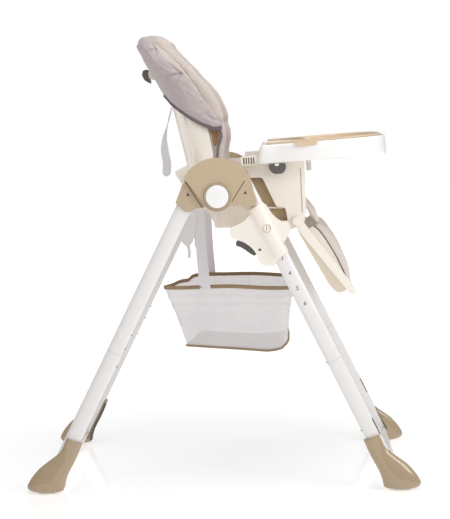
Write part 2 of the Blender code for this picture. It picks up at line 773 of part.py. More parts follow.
def backrest_cover():
    """The padded cover: in front of the shell, over its top and a little way down its back."""
    hood = -0.0110
    rows = back_heights(8, BACK_BOTTOM_Z, BACK_TOP_Z)
    sections = []
    for turn in BACK_TURNS[1:-1]:
        ring = [back_point(turn, z) for z in rows[:7]]
        ring += [back_point(turn, z, hood) for z in rows[6:8]]
        ring.append(back_point(turn, BACK_TOP_Z, hood) + Vector((0, 0.0040, 0.0120)))
        ring.append(back_point(turn, BACK_TOP_Z, 0.0100) + Vector((0, 0, COVER_TOP_Z - BACK_TOP_Z)))
        ring.append(cover_front(turn, BACK_TOP_Z) + Vector((0, 0.0060, 0.0160)))
        ring += [cover_front(turn, z) for z in reversed(rows[:8])]
        sections.append(ring)
    cover = loft("backrest_cover", sections, FABRIC)
    pocket = back_sheet("cover_pocket", SHELL_WALL + 0.0024, 0.0012, helper=True)
    return smooth(cut(cover, pocket))


RECLINE_HANDLE_PIVOT = (0.1731, 0.9810)


def recline_handle():
    """The squeeze handle behind the head end, drawn just clear of the cover."""
    shape = [
        (0.0182, 0.9480), (0.0302, 0.9560), (0.0362, 0.9680), (0.0332, 0.9790), (0.0242, 0.9820),
        (0.0212, 0.9700),
    ]
    spine = between(0.968, BACK_SPINE)
    grip = [(spine + y, z) for y, z in shape]
    return rounded(side_plate("recline_handle", grip, (-0.035, 0.035), DARK), 0.002)


# ---------------------------------------------------------------- tray

def tray_outline(inset):
    """The tray in plan, with level y from the tray's origin: two arms, a curved front and a belly cut-out."""
    half = TRAY_HALF_WIDTH - inset
    front = -(TRAY_FRONT - inset)
    arm_half = 0.232 - inset
    points = [(arm_half, -0.002 - inset), (arm_half, -0.050), (half, -0.090)]
    for index in range(0, 19):
        angle = math.pi * index / 18
        x = half * math.copysign(abs(math.cos(angle)) ** 0.62, math.cos(angle))
        y = -0.140 + (front + 0.140) * math.sin(angle) ** 0.72
        points.append((x, y))
    points += [(-half, -0.090), (-arm_half, -0.050), (-arm_half, -0.002 - inset)]
    belly_half = 0.186 + inset
    points.append((-belly_half, -0.002 - inset))
    for index in range(0, 9):
        angle = math.pi * index / 8
        x = -belly_half * math.cos(angle)
        y = -0.060 - inset - 0.052 * math.sin(angle) ** 0.8
        points.append((x, y))
    points.append((belly_half, -0.002 - inset))
    return points


def tray_base():
    """The lower tray: a shallow dish whose two arms ride on the armrests."""
    base = in_tray_frame(plan_plate("tray_base", tray_outline(0.0), (0.0020, 0.0480), WHITE))
    dish = in_tray_frame(plan_plate("tray_dish", tray_outline(0.0035), (0.0290, 0.0700), WHITE))
    cut(base, dish)
    under = in_tray_frame(plan_plate("tray_under", tray_outline(0.0035), (-0.0200, 0.0255), WHITE))
    cut(base, under)
    for side in SIDES:
        mouth_x = across(side, 0.1940, 0.2250)
        mouth = box(f"tray_mouth_{side}", mouth_x, (-0.012, 0.010), (-0.03, 0.0245), WHITE, True)
        cut(base, in_tray_frame(mouth))
    peg = box("tray_peg", (-0.012, 0.012), (-0.128, -0.123), (-0.022, 0.0275), WHITE)
    return smooth(join(base, in_tray_frame(peg)))


def tray_insert():
    """The lift-off top tray, which nests in the lower one and laps over its rim."""
    top = in_tray_frame(plan_plate("tray_insert", tray_outline(0.0045), (0.0300, 0.0560), BEIGE))
    lip = in_tray_frame(plan_plate("tray_lip", tray_outline(0.0012), (0.0490, 0.0560), BEIGE))
    hollow = in_tray_frame(plan_plate("tray_hollow", tray_outline(0.0085), (0.0340, 0.0800), BEIGE))
    return smooth(cut(join(top, lip), hollow))


TRAY_LEVER_PIVOT = (-0.1364, 0.7544)


def tray_lever(side):
    """The squeeze lever under each arm that frees the tray to slide."""
    name = f"tray_lever_{side}"
    shape = [
        (-0.028, 0.000), (-0.069, 0.000), (-0.069, -0.012), (-0.062, -0.0235), (-0.040, -0.0235),
        (-0.031, -0.014),
    ]
    lever = side_plate(name, shape, across(side, 0.2245, 0.2300), DARK)
    return rounded(in_tray_frame(lever), 0.0012)


# ---------------------------------------------------------------- leg rest

LEG_REST_DOWN = (-math.sin(LEG_REST_LEAN), -math.cos(LEG_REST_LEAN))
LEG_REST_OUT = (-math.cos(LEG_REST_LEAN), math.sin(LEG_REST_LEAN))


def leg_rest_at(along, out):
    return tuple(
        LEG_REST_PIVOT[axis] + LEG_REST_DOWN[axis] * along + LEG_REST_OUT[axis] * out for axis in (0, 1)
    )


def leg_rest_frame():
    """Two side bars, a back panel and a footstep lip."""
    bar = [leg_rest_at(-0.0110, -0.0060), leg_rest_at(-0.0110, 0.0060), leg_rest_at(-0.0050, 0.0110)]
    bar += [leg_rest_at(LEG_REST_LENGTH - 0.006, 0.0100), leg_rest_at(LEG_REST_LENGTH, 0.0040)]
    bar += [leg_rest_at(LEG_REST_LENGTH, -0.0080), leg_rest_at(-0.0050, -0.0110)]
    arm_in, arm_out = SEAT_WALL_OUT + GAP, 0.2147
    frame = side_plate("leg_rest_frame", bar, (-arm_out, -arm_in), CREAM)
    join(frame, side_plate("leg_rest_bar_left", bar, (arm_in, arm_out), CREAM))
    panel = [leg_rest_at(0.040, -0.0090), leg_rest_at(0.040, -0.0050), leg_rest_at(0.205, -0.0050)]
    panel += [leg_rest_at(0.205, 0.0300), leg_rest_at(0.2095, 0.0300), leg_rest_at(0.2095, -0.0090)]
    join(frame, side_plate("leg_rest_panel", panel, (-arm_in - 0.002, arm_in + 0.002), CREAM))
    for side in SIDES:
        bore_span = across(side, 0.19, 0.22)
        cut(frame, cylinder_x(f"leg_rest_bore_{side}", LEG_REST_PIVOT, 0.0054, bore_span, STEEL, 20))
    return smooth(frame)


def leg_pad():
    outline = [leg_rest_at(0.034, -0.0040), leg_rest_at(0.034, 0.0280), leg_rest_at(0.060, 0.0390)]
    outline += [leg_rest_at(0.120, 0.0400), leg_rest_at(0.180, 0.0330), leg_rest_at(0.2040, 0.0260)]
    outline += [leg_rest_at(0.2040, -0.0040)]
    return rounded(side_plate("leg_pad", outline, (-0.188, 0.188), FABRIC), 0.006)


# ---------------------------------------------------------------- harness and straps

def strap_band(name, path, thickness, x_span, mat=WEBBING):
    """A flat strap that follows a path of (y, z) points in side view."""
    outer = []
    for index, (y, z) in enumerate(path):
        before = path[max(index - 1, 0)]
        after = path[min(index + 1, len(path) - 1)]
        run = Vector((after[0] - before[0], after[1] - before[1])).normalized()
        outer.append((y - run.y * thickness, z + run.x * thickness))
    return side_plate(name, list(path) + outer[::-1], x_span, mat)


def shoulder_strap(side):
    face = 0.0362
    path = [(between(z, BACK_SPINE) - face, z) for z in (0.900, 0.860, 0.820, 0.780, 0.745)]
    return strap_band(f"shoulder_strap_{side}", path, -0.0022, across(side, 0.042, 0.067))


def waist_strap(side):
    name = f"waist_strap_{side}"
    return box(name, across(side, 0.026, 0.160), (-0.062, -0.0598), (0.700, 0.725), WEBBING)


def crotch_strap():
    return box("crotch_strap", (-0.0125, 0.0125), (-0.0665, -0.0640), (0.6850, 0.6955), WEBBING)


def harness_buckle():
    return rounded(box("harness_buckle", (-0.024, 0.024), (-0.070, -0.056), (0.6965, 0.738), DARK), 0.003)


def strap_tail():
    """The loose adjuster webbing behind the backrest."""
    path = [(0.1230, 0.8800), (0.1240, 0.8400), (0.1290, 0.8000), (0.1310, 0.7700), (0.1280, 0.7400)]
    return strap_band("harness_strap_tail", path, 0.0022, (-0.0125, 0.0125))


# ---------------------------------------------------------------- basket

BASKET_RIM_Z = 0.462
BASKET_FLOOR_Z = 0.306


def basket_plan(half, front, rear, z, bulge):
    """One level of the basket: straight sides, a square front and a rounded rear."""
    points = [(-half, front), (-half, (front + rear) / 2)]
    for index in range(0, 9):
        angle = math.pi * index / 8
        points.append((-half * math.cos(angle), rear - bulge + bulge * math.sin(angle)))
    points += [(half, (front + rear) / 2), (half, front)]
    return [(x, y, z) for x, y in points]


def basket():
    outer = [
        basket_plan(0.120, -0.135, 0.085, BASKET_FLOOR_Z, 0.060),
        basket_plan(0.126, -0.150, 0.095, BASKET_FLOOR_Z + 0.020, 0.070),
        basket_plan(0.146, -0.170, 0.140, BASKET_RIM_Z, 0.100),
    ]
    inner = [
        basket_plan(0.118, -0.133, 0.083, BASKET_FLOOR_Z + 0.002, 0.060),
        basket_plan(0.124, -0.148, 0.093, BASKET_FLOOR_Z + 0.021, 0.070),
        basket_plan(0.1458, -0.1698, 0.1398, BASKET_RIM_Z + 0.020, 0.100),
    ]
    bag = loft("basket", outer, MESH_NET)
    return cut(bag, loft("basket_hollow", inner, MESH_NET, True))


def basket_strap(side):
    """The webbing that hangs the basket's side from the seat."""
    name = f"basket_strap_{side}"
    return box(name, across(side, 0.1475, 0.1495), (0.024, 0.049), (BASKET_RIM_Z - 0.020, 0.6470), WEBBING)


# ---------------------------------------------------------------- assembly

def build_front_frame():
    cross_tube("front_cross_tube", FRONT)
    for side in SIDES:
        leg_tube(f"front_leg_{side}", FRONT, side, HEIGHT_STOPS)
        foot(f"front_foot_{side}", FRONT, side)
        foot_pad(f"front_foot_pad_{side}", FRONT, side)
        hub_cover(side)
        hub_inner_plate(side)
        hub_axle(side)


def build_rear_frame():
    fold = pivot("rear_frame_pivot", (0.0, HUB_Z))
    hold(fold, cross_tube("rear_cross_tube", REAR))
    for side in SIDES:
        hold(
            fold,
            leg_tube(f"rear_leg_{side}", REAR, side, 0),
            foot(f"rear_foot_{side}", REAR, side),
            foot_pad(f"rear_foot_pad_{side}", REAR, side),
            rear_hub_socket(side),
        )


def build_buttons():
    for side in SIDES:
        slide = pivot(f"fold_button_pivot_{side}", (0.0, HUB_Z))
        hold(slide, fold_button(side))
        fold_button_spring(side)


def build_seat_unit():
    carriage = pivot("seat_slide", FRONT.at(FIRST_STOP))
    hold(carriage, seat_shell(), seat_pad(), crotch_strap(), harness_buckle(), basket())
    for side in SIDES:
        hold(carriage, carriage_outer(side), carriage_inner(side), backrest_pin(side), leg_rest_knob(side))
        hold(carriage, waist_strap(side), basket_strap(side))
        trigger = pivot(f"height_trigger_pivot_{side}", TRIGGER_PIVOT, carriage)
        hold(trigger, height_trigger(side))
        lock = pivot(f"height_lock_pivot_{side}", FRONT.at(FIRST_STOP), carriage)
        hold(lock, height_lock_pin(side))
    recline = pivot("backrest_pivot", BACK_PIVOT, carriage)
    hold(recline, backrest_shell(), backrest_cover(), strap_tail())
    for side in SIDES:
        hold(recline, shoulder_strap(side))
    squeeze = pivot("recline_handle_pivot", RECLINE_HANDLE_PIVOT, recline)
    hold(squeeze, recline_handle())
    leg_rest = pivot("leg_rest_pivot", LEG_REST_PIVOT, carriage)
    hold(leg_rest, leg_rest_frame(), leg_pad())
    tray_slide = pivot("tray_slide", TRAY_ORIGIN, carriage)
    hold(tray_slide, tray_base())
    for side in SIDES:
        lever = pivot(f"tray_lever_pivot_{side}", TRAY_LEVER_PIVOT, tray_slide)
        hold(lever, tray_lever(side))
    lift = pivot("tray_insert_lift", TRAY_ORIGIN, tray_slide)
    hold(lift, tray_insert())


build_front_frame()
build_rear_frame()
build_buttons()
build_seat_unit()
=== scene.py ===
"""Looks of the folding baby high chair: moulded parts, sewn covers, webbing, net basket, floor and light.

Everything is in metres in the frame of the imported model. The child faces -Y, and right is -X.
"""

import json
import math

import bmesh
import bpy
import numpy as np
from mathutils import Matrix, Vector, kdtree, noise


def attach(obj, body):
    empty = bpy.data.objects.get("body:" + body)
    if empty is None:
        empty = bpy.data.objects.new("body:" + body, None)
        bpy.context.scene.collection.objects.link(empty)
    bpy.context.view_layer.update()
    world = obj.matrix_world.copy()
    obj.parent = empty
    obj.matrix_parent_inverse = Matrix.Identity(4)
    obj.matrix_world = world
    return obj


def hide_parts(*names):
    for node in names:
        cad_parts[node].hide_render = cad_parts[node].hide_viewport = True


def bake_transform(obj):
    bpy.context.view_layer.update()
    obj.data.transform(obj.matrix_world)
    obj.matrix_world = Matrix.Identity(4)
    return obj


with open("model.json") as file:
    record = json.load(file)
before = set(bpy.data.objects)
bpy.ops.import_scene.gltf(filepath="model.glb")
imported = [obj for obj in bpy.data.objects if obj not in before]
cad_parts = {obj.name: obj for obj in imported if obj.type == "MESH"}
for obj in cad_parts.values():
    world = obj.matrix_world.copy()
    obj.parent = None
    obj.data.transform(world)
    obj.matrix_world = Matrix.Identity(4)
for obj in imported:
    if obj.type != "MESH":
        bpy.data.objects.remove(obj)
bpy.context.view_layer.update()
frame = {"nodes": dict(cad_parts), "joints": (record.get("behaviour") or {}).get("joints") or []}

SCENE = bpy.context.scene
SIDES = {"right": -1, "left": 1}
JOINTS = {joint["name"]: joint for joint in frame["joints"]}

HUB = tuple(JOINTS["frame_fold"]["pos_m"][1:])
LEG_REST_PIVOT = tuple(JOINTS["leg_rest_tilt"]["pos_m"][1:])
LEG_X = 0.262
LEG_HALF_X = 0.010
LEG_HALF_WIDTH = 0.018
FRONT_LEAN = math.radians(26.0)
REAR_LEAN = math.radians(26.8)
FRONT_OFFSET = 0.067
REAR_OFFSET = 0.058
FIRST_STOP = 0.116
STOP_PITCH = 0.0387
TRAY_ORIGIN = (-0.088, 0.752)
TRAY_TILT = math.radians(3.5)
LEG_REST_LEAN = math.radians(37.6)
LEG_REST_LENGTH = 0.215


# ---------------------------------------------------------------- small tools

def srgb(red, green, blue):
    """A colour given on the 0 to 255 scale, as the linear values that shaders use."""
    made = []
    for value in (red, green, blue):
        share = value / 255
        made.append(share / 12.92 if share <= 0.04045 else ((share + 0.055) / 1.055) ** 2.4)
    return (*made, 1.0)


def between(value, table):
    """Straight-line reading of a table of (place, value) pairs."""
    for (low, first), (high, second) in zip(table, table[1:]):
        if value <= high:
            share = (value - low) / (high - low)
            return first + (second - first) * max(share, 0.0)
    return table[-1][1]


def smooth_step(value, low, high):
    share = min(max((value - low) / (high - low), 0.0), 1.0)
    return share * share * (3 - 2 * share)


def signed_power(value, power):
    return math.copysign(abs(value) ** power, value)


def through(points, count):
    """Evenly numbered points on a smooth curve through the given ones."""
    given = [np.array(point, float) for point in points]
    ends = [2 * given[0] - given[1]] + given + [2 * given[-1] - given[-2]]
    made = []
    for index in range(count):
        place = index / (count - 1) * (len(given) - 1)
        span = min(int(place), len(given) - 2)
        t = place - span
        a, b, c, d = ends[span : span + 4]
        made.append(
            0.5 * (2 * b + (c - a) * t + (2 * a - 5 * b + 4 * c - d) * t**2 + (3 * b - a - 3 * c + d) * t**3)
        )
    return made


def soften(points, radius, steps=4):
    """The closed outline with each corner rounded."""
    made = []
    count = len(points)
    for index in range(count):
        corner = Vector(points[index])
        before = Vector(points[index - 1]) - corner
        after = Vector(points[(index + 1) % count]) - corner
        start = corner + before.normalized() * min(radius, before.length * 0.45)
        end = corner + after.normalized() * min(radius, after.length * 0.45)
        for step in range(steps + 1):
            t = step / steps
            made.append(tuple(start * (1 - t) ** 2 + corner * 2 * t * (1 - t) + end * t**2))
    return made


def arc(centre, radius, start, end, count):
    """Points on an arc, with angles in degrees measured from +Y towards +Z."""
    made = []
    for index in range(count + 1):
        angle = math.radians(start + (end - start) * index / count)
        made.append((centre[0] + radius * math.cos(angle), centre[1] + radius * math.sin(angle)))
    return made


def finished(name, mesh, material, angle=32.0):
    """A new shown object with smooth shading and sharp edges above an angle."""
    mesh.shade_smooth()
    mesh.set_sharp_from_angle(angle=math.radians(angle))
    obj = bpy.data.objects.new(name, mesh)
    SCENE.collection.objects.link(obj)
    mesh.materials.clear()
    mesh.materials.append(material)
    return obj


def mesh_of(bm, name):
    bmesh.ops.remove_doubles(bm, verts=bm.verts, dist=1e-7)
    bmesh.ops.recalc_face_normals(bm, faces=bm.faces)
    mesh = bpy.data.meshes.new(name)
    bm.to_mesh(mesh)
    bm.free()
    return mesh


def skin(name, rings, material, closed=True, caps=True, angle=32.0):
    """A surface through rows of points of equal length; closed joins each row's ends."""
    bm = bmesh.new()
    rows = [[bm.verts.new(tuple(point)) for point in ring] for ring in rings]
    count = len(rows[0])
    for row, following in zip(rows, rows[1:]):
        for index in range(count if closed else count - 1):
            after = (index + 1) % count
            bm.faces.new((row[index], row[after], following[after], following[index]))
    if caps:
        bm.faces.new(list(reversed(rows[0])))
        bm.faces.new(rows[-1])
    return finished(name, mesh_of(bm, name), material, angle)


def plate(name, outline, x_span, edge, material, both=False, segments=3):
    """A flat (y, z) outline made thick across the chair, with rounded rims; x_span runs inner to outer."""
    inner, outer = x_span
    bm = bmesh.new()
    low = [bm.verts.new((inner, y, z)) for y, z in outline]
    high = [bm.verts.new((outer, y, z)) for y, z in outline]
    bm.faces.new(low)
    bm.faces.new(list(reversed(high)))
    for index in range(len(outline)):
        after = (index + 1) % len(outline)
        bm.faces.new((low[index], high[index], high[after], low[after]))
    bm.edges.ensure_lookup_table()
    chosen = []
    for edge_ in bm.edges:
        places = [vert.co.x for vert in edge_.verts]
        if abs(places[0] - places[1]) > 1e-9:
            continue
        if abs(places[0] - outer) < 1e-9 or both:
            chosen.append(edge_)
    bmesh.ops.bevel(
        bm, geom=chosen, offset=edge, segments=segments, profile=0.5, affect="EDGES", clamp_overlap=True
    )
    obj = finished(name, mesh_of(bm, name), material)
    even = obj.modifiers.new("even_normals", "WEIGHTED_NORMAL")
    even.keep_sharp = True
    return obj


def join(name, *objects):
    """One object out of several, keeping each one's shape; the first gives the material slots."""
    graph = bpy.context.evaluated_depsgraph_get()
    bm = bmesh.new()
    materials = []
    for obj in objects:
        mesh = bpy.data.meshes.new_from_object(obj.evaluated_get(graph))
        mesh.transform(obj.matrix_world)
        for slot in mesh.materials:
            if slot not in materials:
                materials.append(slot)
        indices = [materials.index(slot) for slot in mesh.materials]
        for polygon in mesh.polygons:
            polygon.material_index = indices[polygon.material_index]
        bm.from_mesh(mesh)
        bpy.data.meshes.remove(mesh)
    for obj in objects:
        bpy.data.objects.remove(obj, do_unlink=True)
    made = bpy.data.meshes.new(name)
    bm.to_mesh(made)
    bm.free()
    joined = bpy.data.objects.new(name, made)
    SCENE.collection.objects.link(joined)
    for slot in materials:
        made.materials.append(slot)
    return joined


def carve(obj, cutter):
    """Cuts one object with another and removes the cutter."""
    step = obj.modifiers.new("carve", "BOOLEAN")
    step.operation = "DIFFERENCE"
    step.solver = "EXACT"
    step.use_self = True
    step.object = cutter
    bpy.context.view_layer.update()
    graph = bpy.context.evaluated_depsgraph_get()
    mesh = bpy.data.meshes.new_from_object(obj.evaluated_get(graph))
    obj.modifiers.remove(step)
    obj.data = mesh
    bpy.data.objects.remove(cutter, do_unlink=True)
    return obj


def tube(name, path, radius, material, flat=1.0, normal=None, sides=12, closed=False):
    """A round or flattened cord along a path; flat below 1 thins it along the given direction."""
    points = [Vector(point) for point in path]
    rings = []
    count = len(points)
    for index, point in enumerate(points):
        if closed:
            run = points[(index + 1) % count] - points[index - 1]
        else:
            run = points[min(index + 1, count - 1)] - points[max(index - 1, 0)]
        run.normalize()
        thin = Vector(normal[index]) if isinstance(normal, list) else Vector(normal or (0, 0, 1))
        thin = thin - run * thin.dot(run)
        if thin.length < 1e-6:
            thin = run.orthogonal()
        thin.normalize()
        wide = run.cross(thin)
        ring = []
        for side in range(sides):
            angle = 2 * math.pi * side / sides
            ring.append(point + wide * (radius * math.cos(angle)) + thin * (radius * flat * math.sin(angle)))
        rings.append(ring)
    if closed:
        rings.append(rings[0])
    return skin(name, rings, material, caps=not closed, angle=60)


def shown(obj, body, slot, *replaced):
    """Rides on a body and stands for the CAD nodes given; the finish named in slot is not used."""
    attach(obj, body)
    if replaced:
        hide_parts(*replaced)
    return obj


def across(side, inner, outer):
    return (SIDES[side] * inner, SIDES[side] * outer)


# ---------------------------------------------------------------- shader groups

def new_group(name, inputs, outputs):
    tree = bpy.data.node_groups.new(name, "ShaderNodeTree")
    for title, kind, value in inputs:
        socket = tree.interface.new_socket(name=title, in_out="INPUT", socket_type=kind)
        socket.default_value = value
    for title, kind in outputs:
        tree.interface.new_socket(name=title, in_out="OUTPUT", socket_type=kind)
    return tree, tree.nodes.new("NodeGroupInput"), tree.nodes.new("NodeGroupOutput")


def node(tree, kind, links=(), **settings):
    """A node with its settings and constant sockets; links are (socket name, output) pairs."""
    made = tree.nodes.new(kind)
    for key, value in settings.items():
        if key.startswith("in_"):
            made.inputs[key[3:].replace("_", " ")].default_value = value
        else:
            setattr(made, key, value)
    for title, output in links:
        tree.links.new(output, made.inputs[title])
    return made


FLOAT = "NodeSocketFloat"
COLOR = "NodeSocketColor"
VECTOR = "NodeSocketVector"


def moulded_skin_group():
    """Fine moulded grain, a slow change of tone and a little handling gloss."""
    tree, given, out = new_group(
        "moulded_skin",
        [
            ("Colour", COLOR, (0.8, 0.8, 0.8, 1)),
            ("Tone Change", FLOAT, 0.06),
            ("Grain Size", FLOAT, 900.0),
            ("Grain Depth", FLOAT, 0.1),
            ("Roughness", FLOAT, 0.4),
        ],
        [("Colour", COLOR), ("Roughness", FLOAT), ("Normal", VECTOR)],
    )
    place = node(tree, "ShaderNodeTexCoord").outputs["Object"]
    slow = node(tree, "ShaderNodeTexNoise", [("Vector", place)], in_Scale=11.0, in_Detail=3.0)
    fine = node(
        tree, "ShaderNodeTexNoise", [("Vector", place), ("Scale", given.outputs["Grain Size"])],
        in_Detail=2.0
    )
    centred = node(tree, "ShaderNodeMath", [(0, slow.outputs["Fac"])], operation="SUBTRACT")
    centred.inputs[1].default_value = 0.5
    amount = node(
        tree, "ShaderNodeMath", [
            (0, centred.outputs[0]), (1, given.outputs["Tone Change"])
        ], operation="MULTIPLY"
    )
    lift = node(tree, "ShaderNodeMath", [(0, amount.outputs[0])], operation="ADD")
    lift.inputs[1].default_value = 1.0
    tinted = node(
        tree,
        "ShaderNodeVectorMath",
        [(0, given.outputs["Colour"]), ("Scale", lift.outputs[0])],
        operation="SCALE",
    )
    polish = node(tree, "ShaderNodeMath", [(0, centred.outputs[0])], operation="MULTIPLY")
    polish.inputs[1].default_value = 0.18
    rough = node(
        tree, "ShaderNodeMath", [(0, polish.outputs[0]), (1, given.outputs["Roughness"])], operation="ADD"
    )
    bump = node(
        tree,
        "ShaderNodeBump",
        [("Height", fine.outputs["Fac"]), ("Strength", given.outputs["Grain Depth"])],
        in_Distance=0.0004,
    )
    tree.links.new(tinted.outputs[0], out.inputs["Colour"])
    tree.links.new(rough.outputs[0], out.inputs["Roughness"])
    tree.links.new(bump.outputs[0], out.inputs["Normal"])
    return tree


def woven_threads_group():
    """A plain weave of crossing threads, with a slow fading of the dye."""
    tree, given, out = new_group(
        "woven_threads",
        [
            ("Thread", COLOR, (0.6, 0.55, 0.5, 1)),
            ("Gap", COLOR, (0.4, 0.36, 0.33, 1)),
            ("Threads", FLOAT, 900.0),
            ("Relief", FLOAT, 0.4),
            ("Fading", FLOAT, 0.12),
        ],
        [("Colour", COLOR), ("Weave", FLOAT), ("Normal", VECTOR)],
    )
    place = node(tree, "ShaderNodeTexCoord").outputs["Object"]
    turned = node(tree, "ShaderNodeMapping", [("Vector", place)])
    turned.inputs["Rotation"].default_value = (0.5, 0.35, 0.2)
    waves = []
    for direction in ("X", "Y", "Z"):
        wave = node(
            tree,
            "ShaderNodeTexWave",
            [("Vector", turned.outputs[0]), ("Scale", given.outputs["Threads"])],
            bands_direction=direction,
            in_Distortion=0.6,
            in_Detail=0.0,
        )
        waves.append(wave.outputs["Fac"])
    first = node(tree, "ShaderNodeMath", [(0, waves[0]), (1, waves[1])], operation="MAXIMUM")
    weave = node(tree, "ShaderNodeMath", [(0, first.outputs[0]), (1, waves[2])], operation="MULTIPLY")
    slow = node(
        tree, "ShaderNodeTexNoise", [("Vector", place)], in_Scale=16.0, in_Detail=5.0, in_Roughness=0.6
    )
    faded = node(
        tree, "ShaderNodeMath", [(0, slow.outputs["Fac"]), (1, given.outputs["Fading"])], operation="MULTIPLY"
    )
    share = node(tree, "ShaderNodeMath", [(0, weave.outputs[0]), (1, faded.outputs[0])], operation="SUBTRACT")
    share.use_clamp = True
    mixed = node(
        tree,
        "ShaderNodeMix",
        [("Factor", share.outputs[0])],
        data_type="RGBA",
    )
    tree.links.new(given.outputs["Gap"], mixed.inputs[6])
    tree.links.new(given.outputs["Thread"], mixed.inputs[7])
    bump = node(
        tree,
        "ShaderNodeBump",
        [("Height", weave.outputs[0]), ("Strength", given.outputs["Relief"])],
        in_Distance=0.0005,
    )
    tree.links.new(mixed.outputs[2], out.inputs["Colour"])
    tree.links.new(weave.outputs[0], out.inputs["Weave"])
    tree.links.new(bump.outputs[0], out.inputs["Normal"])
    return tree


MOULDED = moulded_skin_group()
WOVEN = woven_threads_group()


def base_material(name, **values):
    made = bpy.data.materials.new(name)
    made.use_nodes = True
    shader = made.node_tree.nodes["Principled BSDF"]
    for title, value in values.items():
        shader.inputs[title.replace("_", " ")].default_value = value
    return made, made.node_tree, shader


def moulded(name, color, rough, tone=0.06, grain=900.0, depth=0.08, **values):
    """Moulded plastic, or paint over metal."""
    made, tree, shader = base_material(name, **values)
    group = tree.nodes.new("ShaderNodeGroup")
    group.node_tree = MOULDED
    group.inputs["Colour"].default_value = color
    group.inputs["Tone Change"].default_value = tone
    group.inputs["Grain Size"].default_value = grain
    group.inputs["Grain Depth"].default_value = depth
    group.inputs["Roughness"].default_value = rough
    tree.links.new(group.outputs["Colour"], shader.inputs["Base Color"])
    tree.links.new(group.outputs["Roughness"], shader.inputs["Roughness"])
    tree.links.new(group.outputs["Normal"], shader.inputs["Normal"])
    return made


def woven(name, thread, gap, threads, relief, fading, **values):
    """Woven or knitted cloth."""
    made, tree, shader = base_material(name, Roughness=0.88, **values)
    group = tree.nodes.new("ShaderNodeGroup")
    group.node_tree = WOVEN
    group.inputs["Thread"].default_value = thread
    group.inputs["Gap"].default_value = gap
    group.inputs["Threads"].default_value = threads
    group.inputs["Relief"].default_value = relief
    group.inputs["Fading"].default_value = fading
    tree.links.new(group.outputs["Colour"], shader.inputs["Base Color"])
    tree.links.new(group.outputs["Normal"], shader.inputs["Normal"])
    return made


def net_material():
    """Knitted net: fine strands with open holes between them."""
    made, tree, shader = base_material("basket_net", Roughness=0.8)
    shader.inputs["Base Color"].default_value = srgb(236, 232, 233)
    place = node(tree, "ShaderNodeTexCoord").outputs["Object"]
    turned = node(tree, "ShaderNodeMapping", [("Vector", place)])
    turned.inputs["Rotation"].default_value = (0.785, 0.5, 0.785)
    waves = []
    for direction in ("X", "Y", "Z"):
        wave = node(
            tree,
            "ShaderNodeTexWave",
            [("Vector", turned.outputs[0])],
            bands_direction=direction,
            in_Scale=140.0,
            in_Distortion=0.5,
            in_Detail=0.0,
        )
        waves.append(wave.outputs["Fac"])
    pair = node(tree, "ShaderNodeMath", [(0, waves[0]), (1, waves[1])], operation="MAXIMUM")
    strands = node(tree, "ShaderNodeMath", [(0, pair.outputs[0]), (1, waves[2])], operation="MAXIMUM")
    hole = node(
        tree,
        "ShaderNodeMapRange",
        [("Value", strands.outputs[0])],
        in_From_Min=0.55,
        in_From_Max=0.85,
        in_To_Min=0.28,
        in_To_Max=0.86,
    )
    tone = node(tree, "ShaderNodeTexNoise", [("Vector", place)], in_Scale=14.0, in_Detail=3.0)
    shade = node(tree, "ShaderNodeMix", [("Factor", tone.outputs["Fac"])], data_type="RGBA")
    shade.inputs[6].default_value = srgb(226, 221, 223)
    shade.inputs[7].default_value = srgb(244, 241, 241)
    tree.links.new(shade.outputs[2], shader.inputs["Base Color"])
    tree.links.new(hole.outputs[0], shader.inputs["Alpha"])
    bump = node(tree, "ShaderNodeBump", [("Height", strands.outputs[0])], in_Strength=0.4, in_Distance=0.0006)
    tree.links.new(bump.outputs[0], shader.inputs["Normal"])
    return made


WHITE_ENAMEL = moulded("white_enamel", srgb(236, 233, 231), 0.28, 0.03, 700.0, 0.03, Coat_Weight=0.25)
BEIGE = moulded("beige_plastic", srgb(194, 174, 145), 0.33, 0.05, 1100.0, 0.05, Coat_Weight=0.1)
BOOT_BEIGE = moulded("boot_plastic", srgb(174, 152, 122), 0.18, 0.05, 800.0, 0.02, Coat_Weight=0.7)
BEIGE_LINE = moulded("beige_shadow_line", srgb(158, 128, 96), 0.45, 0.05, 900.0, 0.05)
CREAM = moulded("cream_plastic", srgb(246, 238, 227), 0.36, 0.04, 1300.0, 0.06)
# A darker tan that paints the shade in the seat side's sunken panel and in a thin line near the wall's front.
RECESS_SHADE_TAN = moulded("painted_recess_shade", srgb(184, 160, 124), 0.42, 0.06, 1000.0, 0.06)
WHITE = moulded("white_plastic", srgb(247, 245, 243), 0.26, 0.03, 900.0, 0.04, Coat_Weight=0.2)
INSERT_TAN = moulded("tray_insert_plastic", srgb(216, 193, 163), 0.34, 0.05, 900.0, 0.05)
# Dark grey plastic of the triggers, levers, buckle, handle and rivets; the same colour is also painted shade in the
# thin strips on the boots.
DARK_PLASTIC_AND_SHADE = moulded("dark_grey_plastic", srgb(92, 88, 84), 0.42, 0.10, 1000.0, 0.10)
RUBBER = moulded("black_rubber", srgb(34, 33, 32), 0.75, 0.15, 500.0, 0.25)
INK = moulded("printed_marks", srgb(62, 56, 52), 0.50, 0.10, 900.0, 0.02)
STEEL = moulded("zinc_steel", srgb(200, 199, 197), 0.26, 0.08, 400.0, 0.06, Metallic=1.0)
COVER_FRONT = woven(
    "cover_front_cloth", srgb(220, 210, 203), srgb(194, 181, 173), 420.0, 0.30, 0.5, Sheen_Weight=0.2
)
COVER_SIDE = woven(
    "cover_side_cloth", srgb(208, 197, 194), srgb(180, 168, 167), 420.0, 0.35, 0.5, Sheen_Weight=0.25
)
BINDING_MAUVE = woven("cover_binding", srgb(150, 135, 139), srgb(116, 102, 108), 600.0, 0.5, 0.4)
BINDING_TAN = woven("basket_binding", srgb(186, 162, 130), srgb(148, 124, 96), 600.0, 0.5, 0.4)
WEBBING = woven("white_webbing", srgb(250, 248, 249), srgb(230, 226, 229), 500.0, 0.5, 0.3)
NET = net_material()
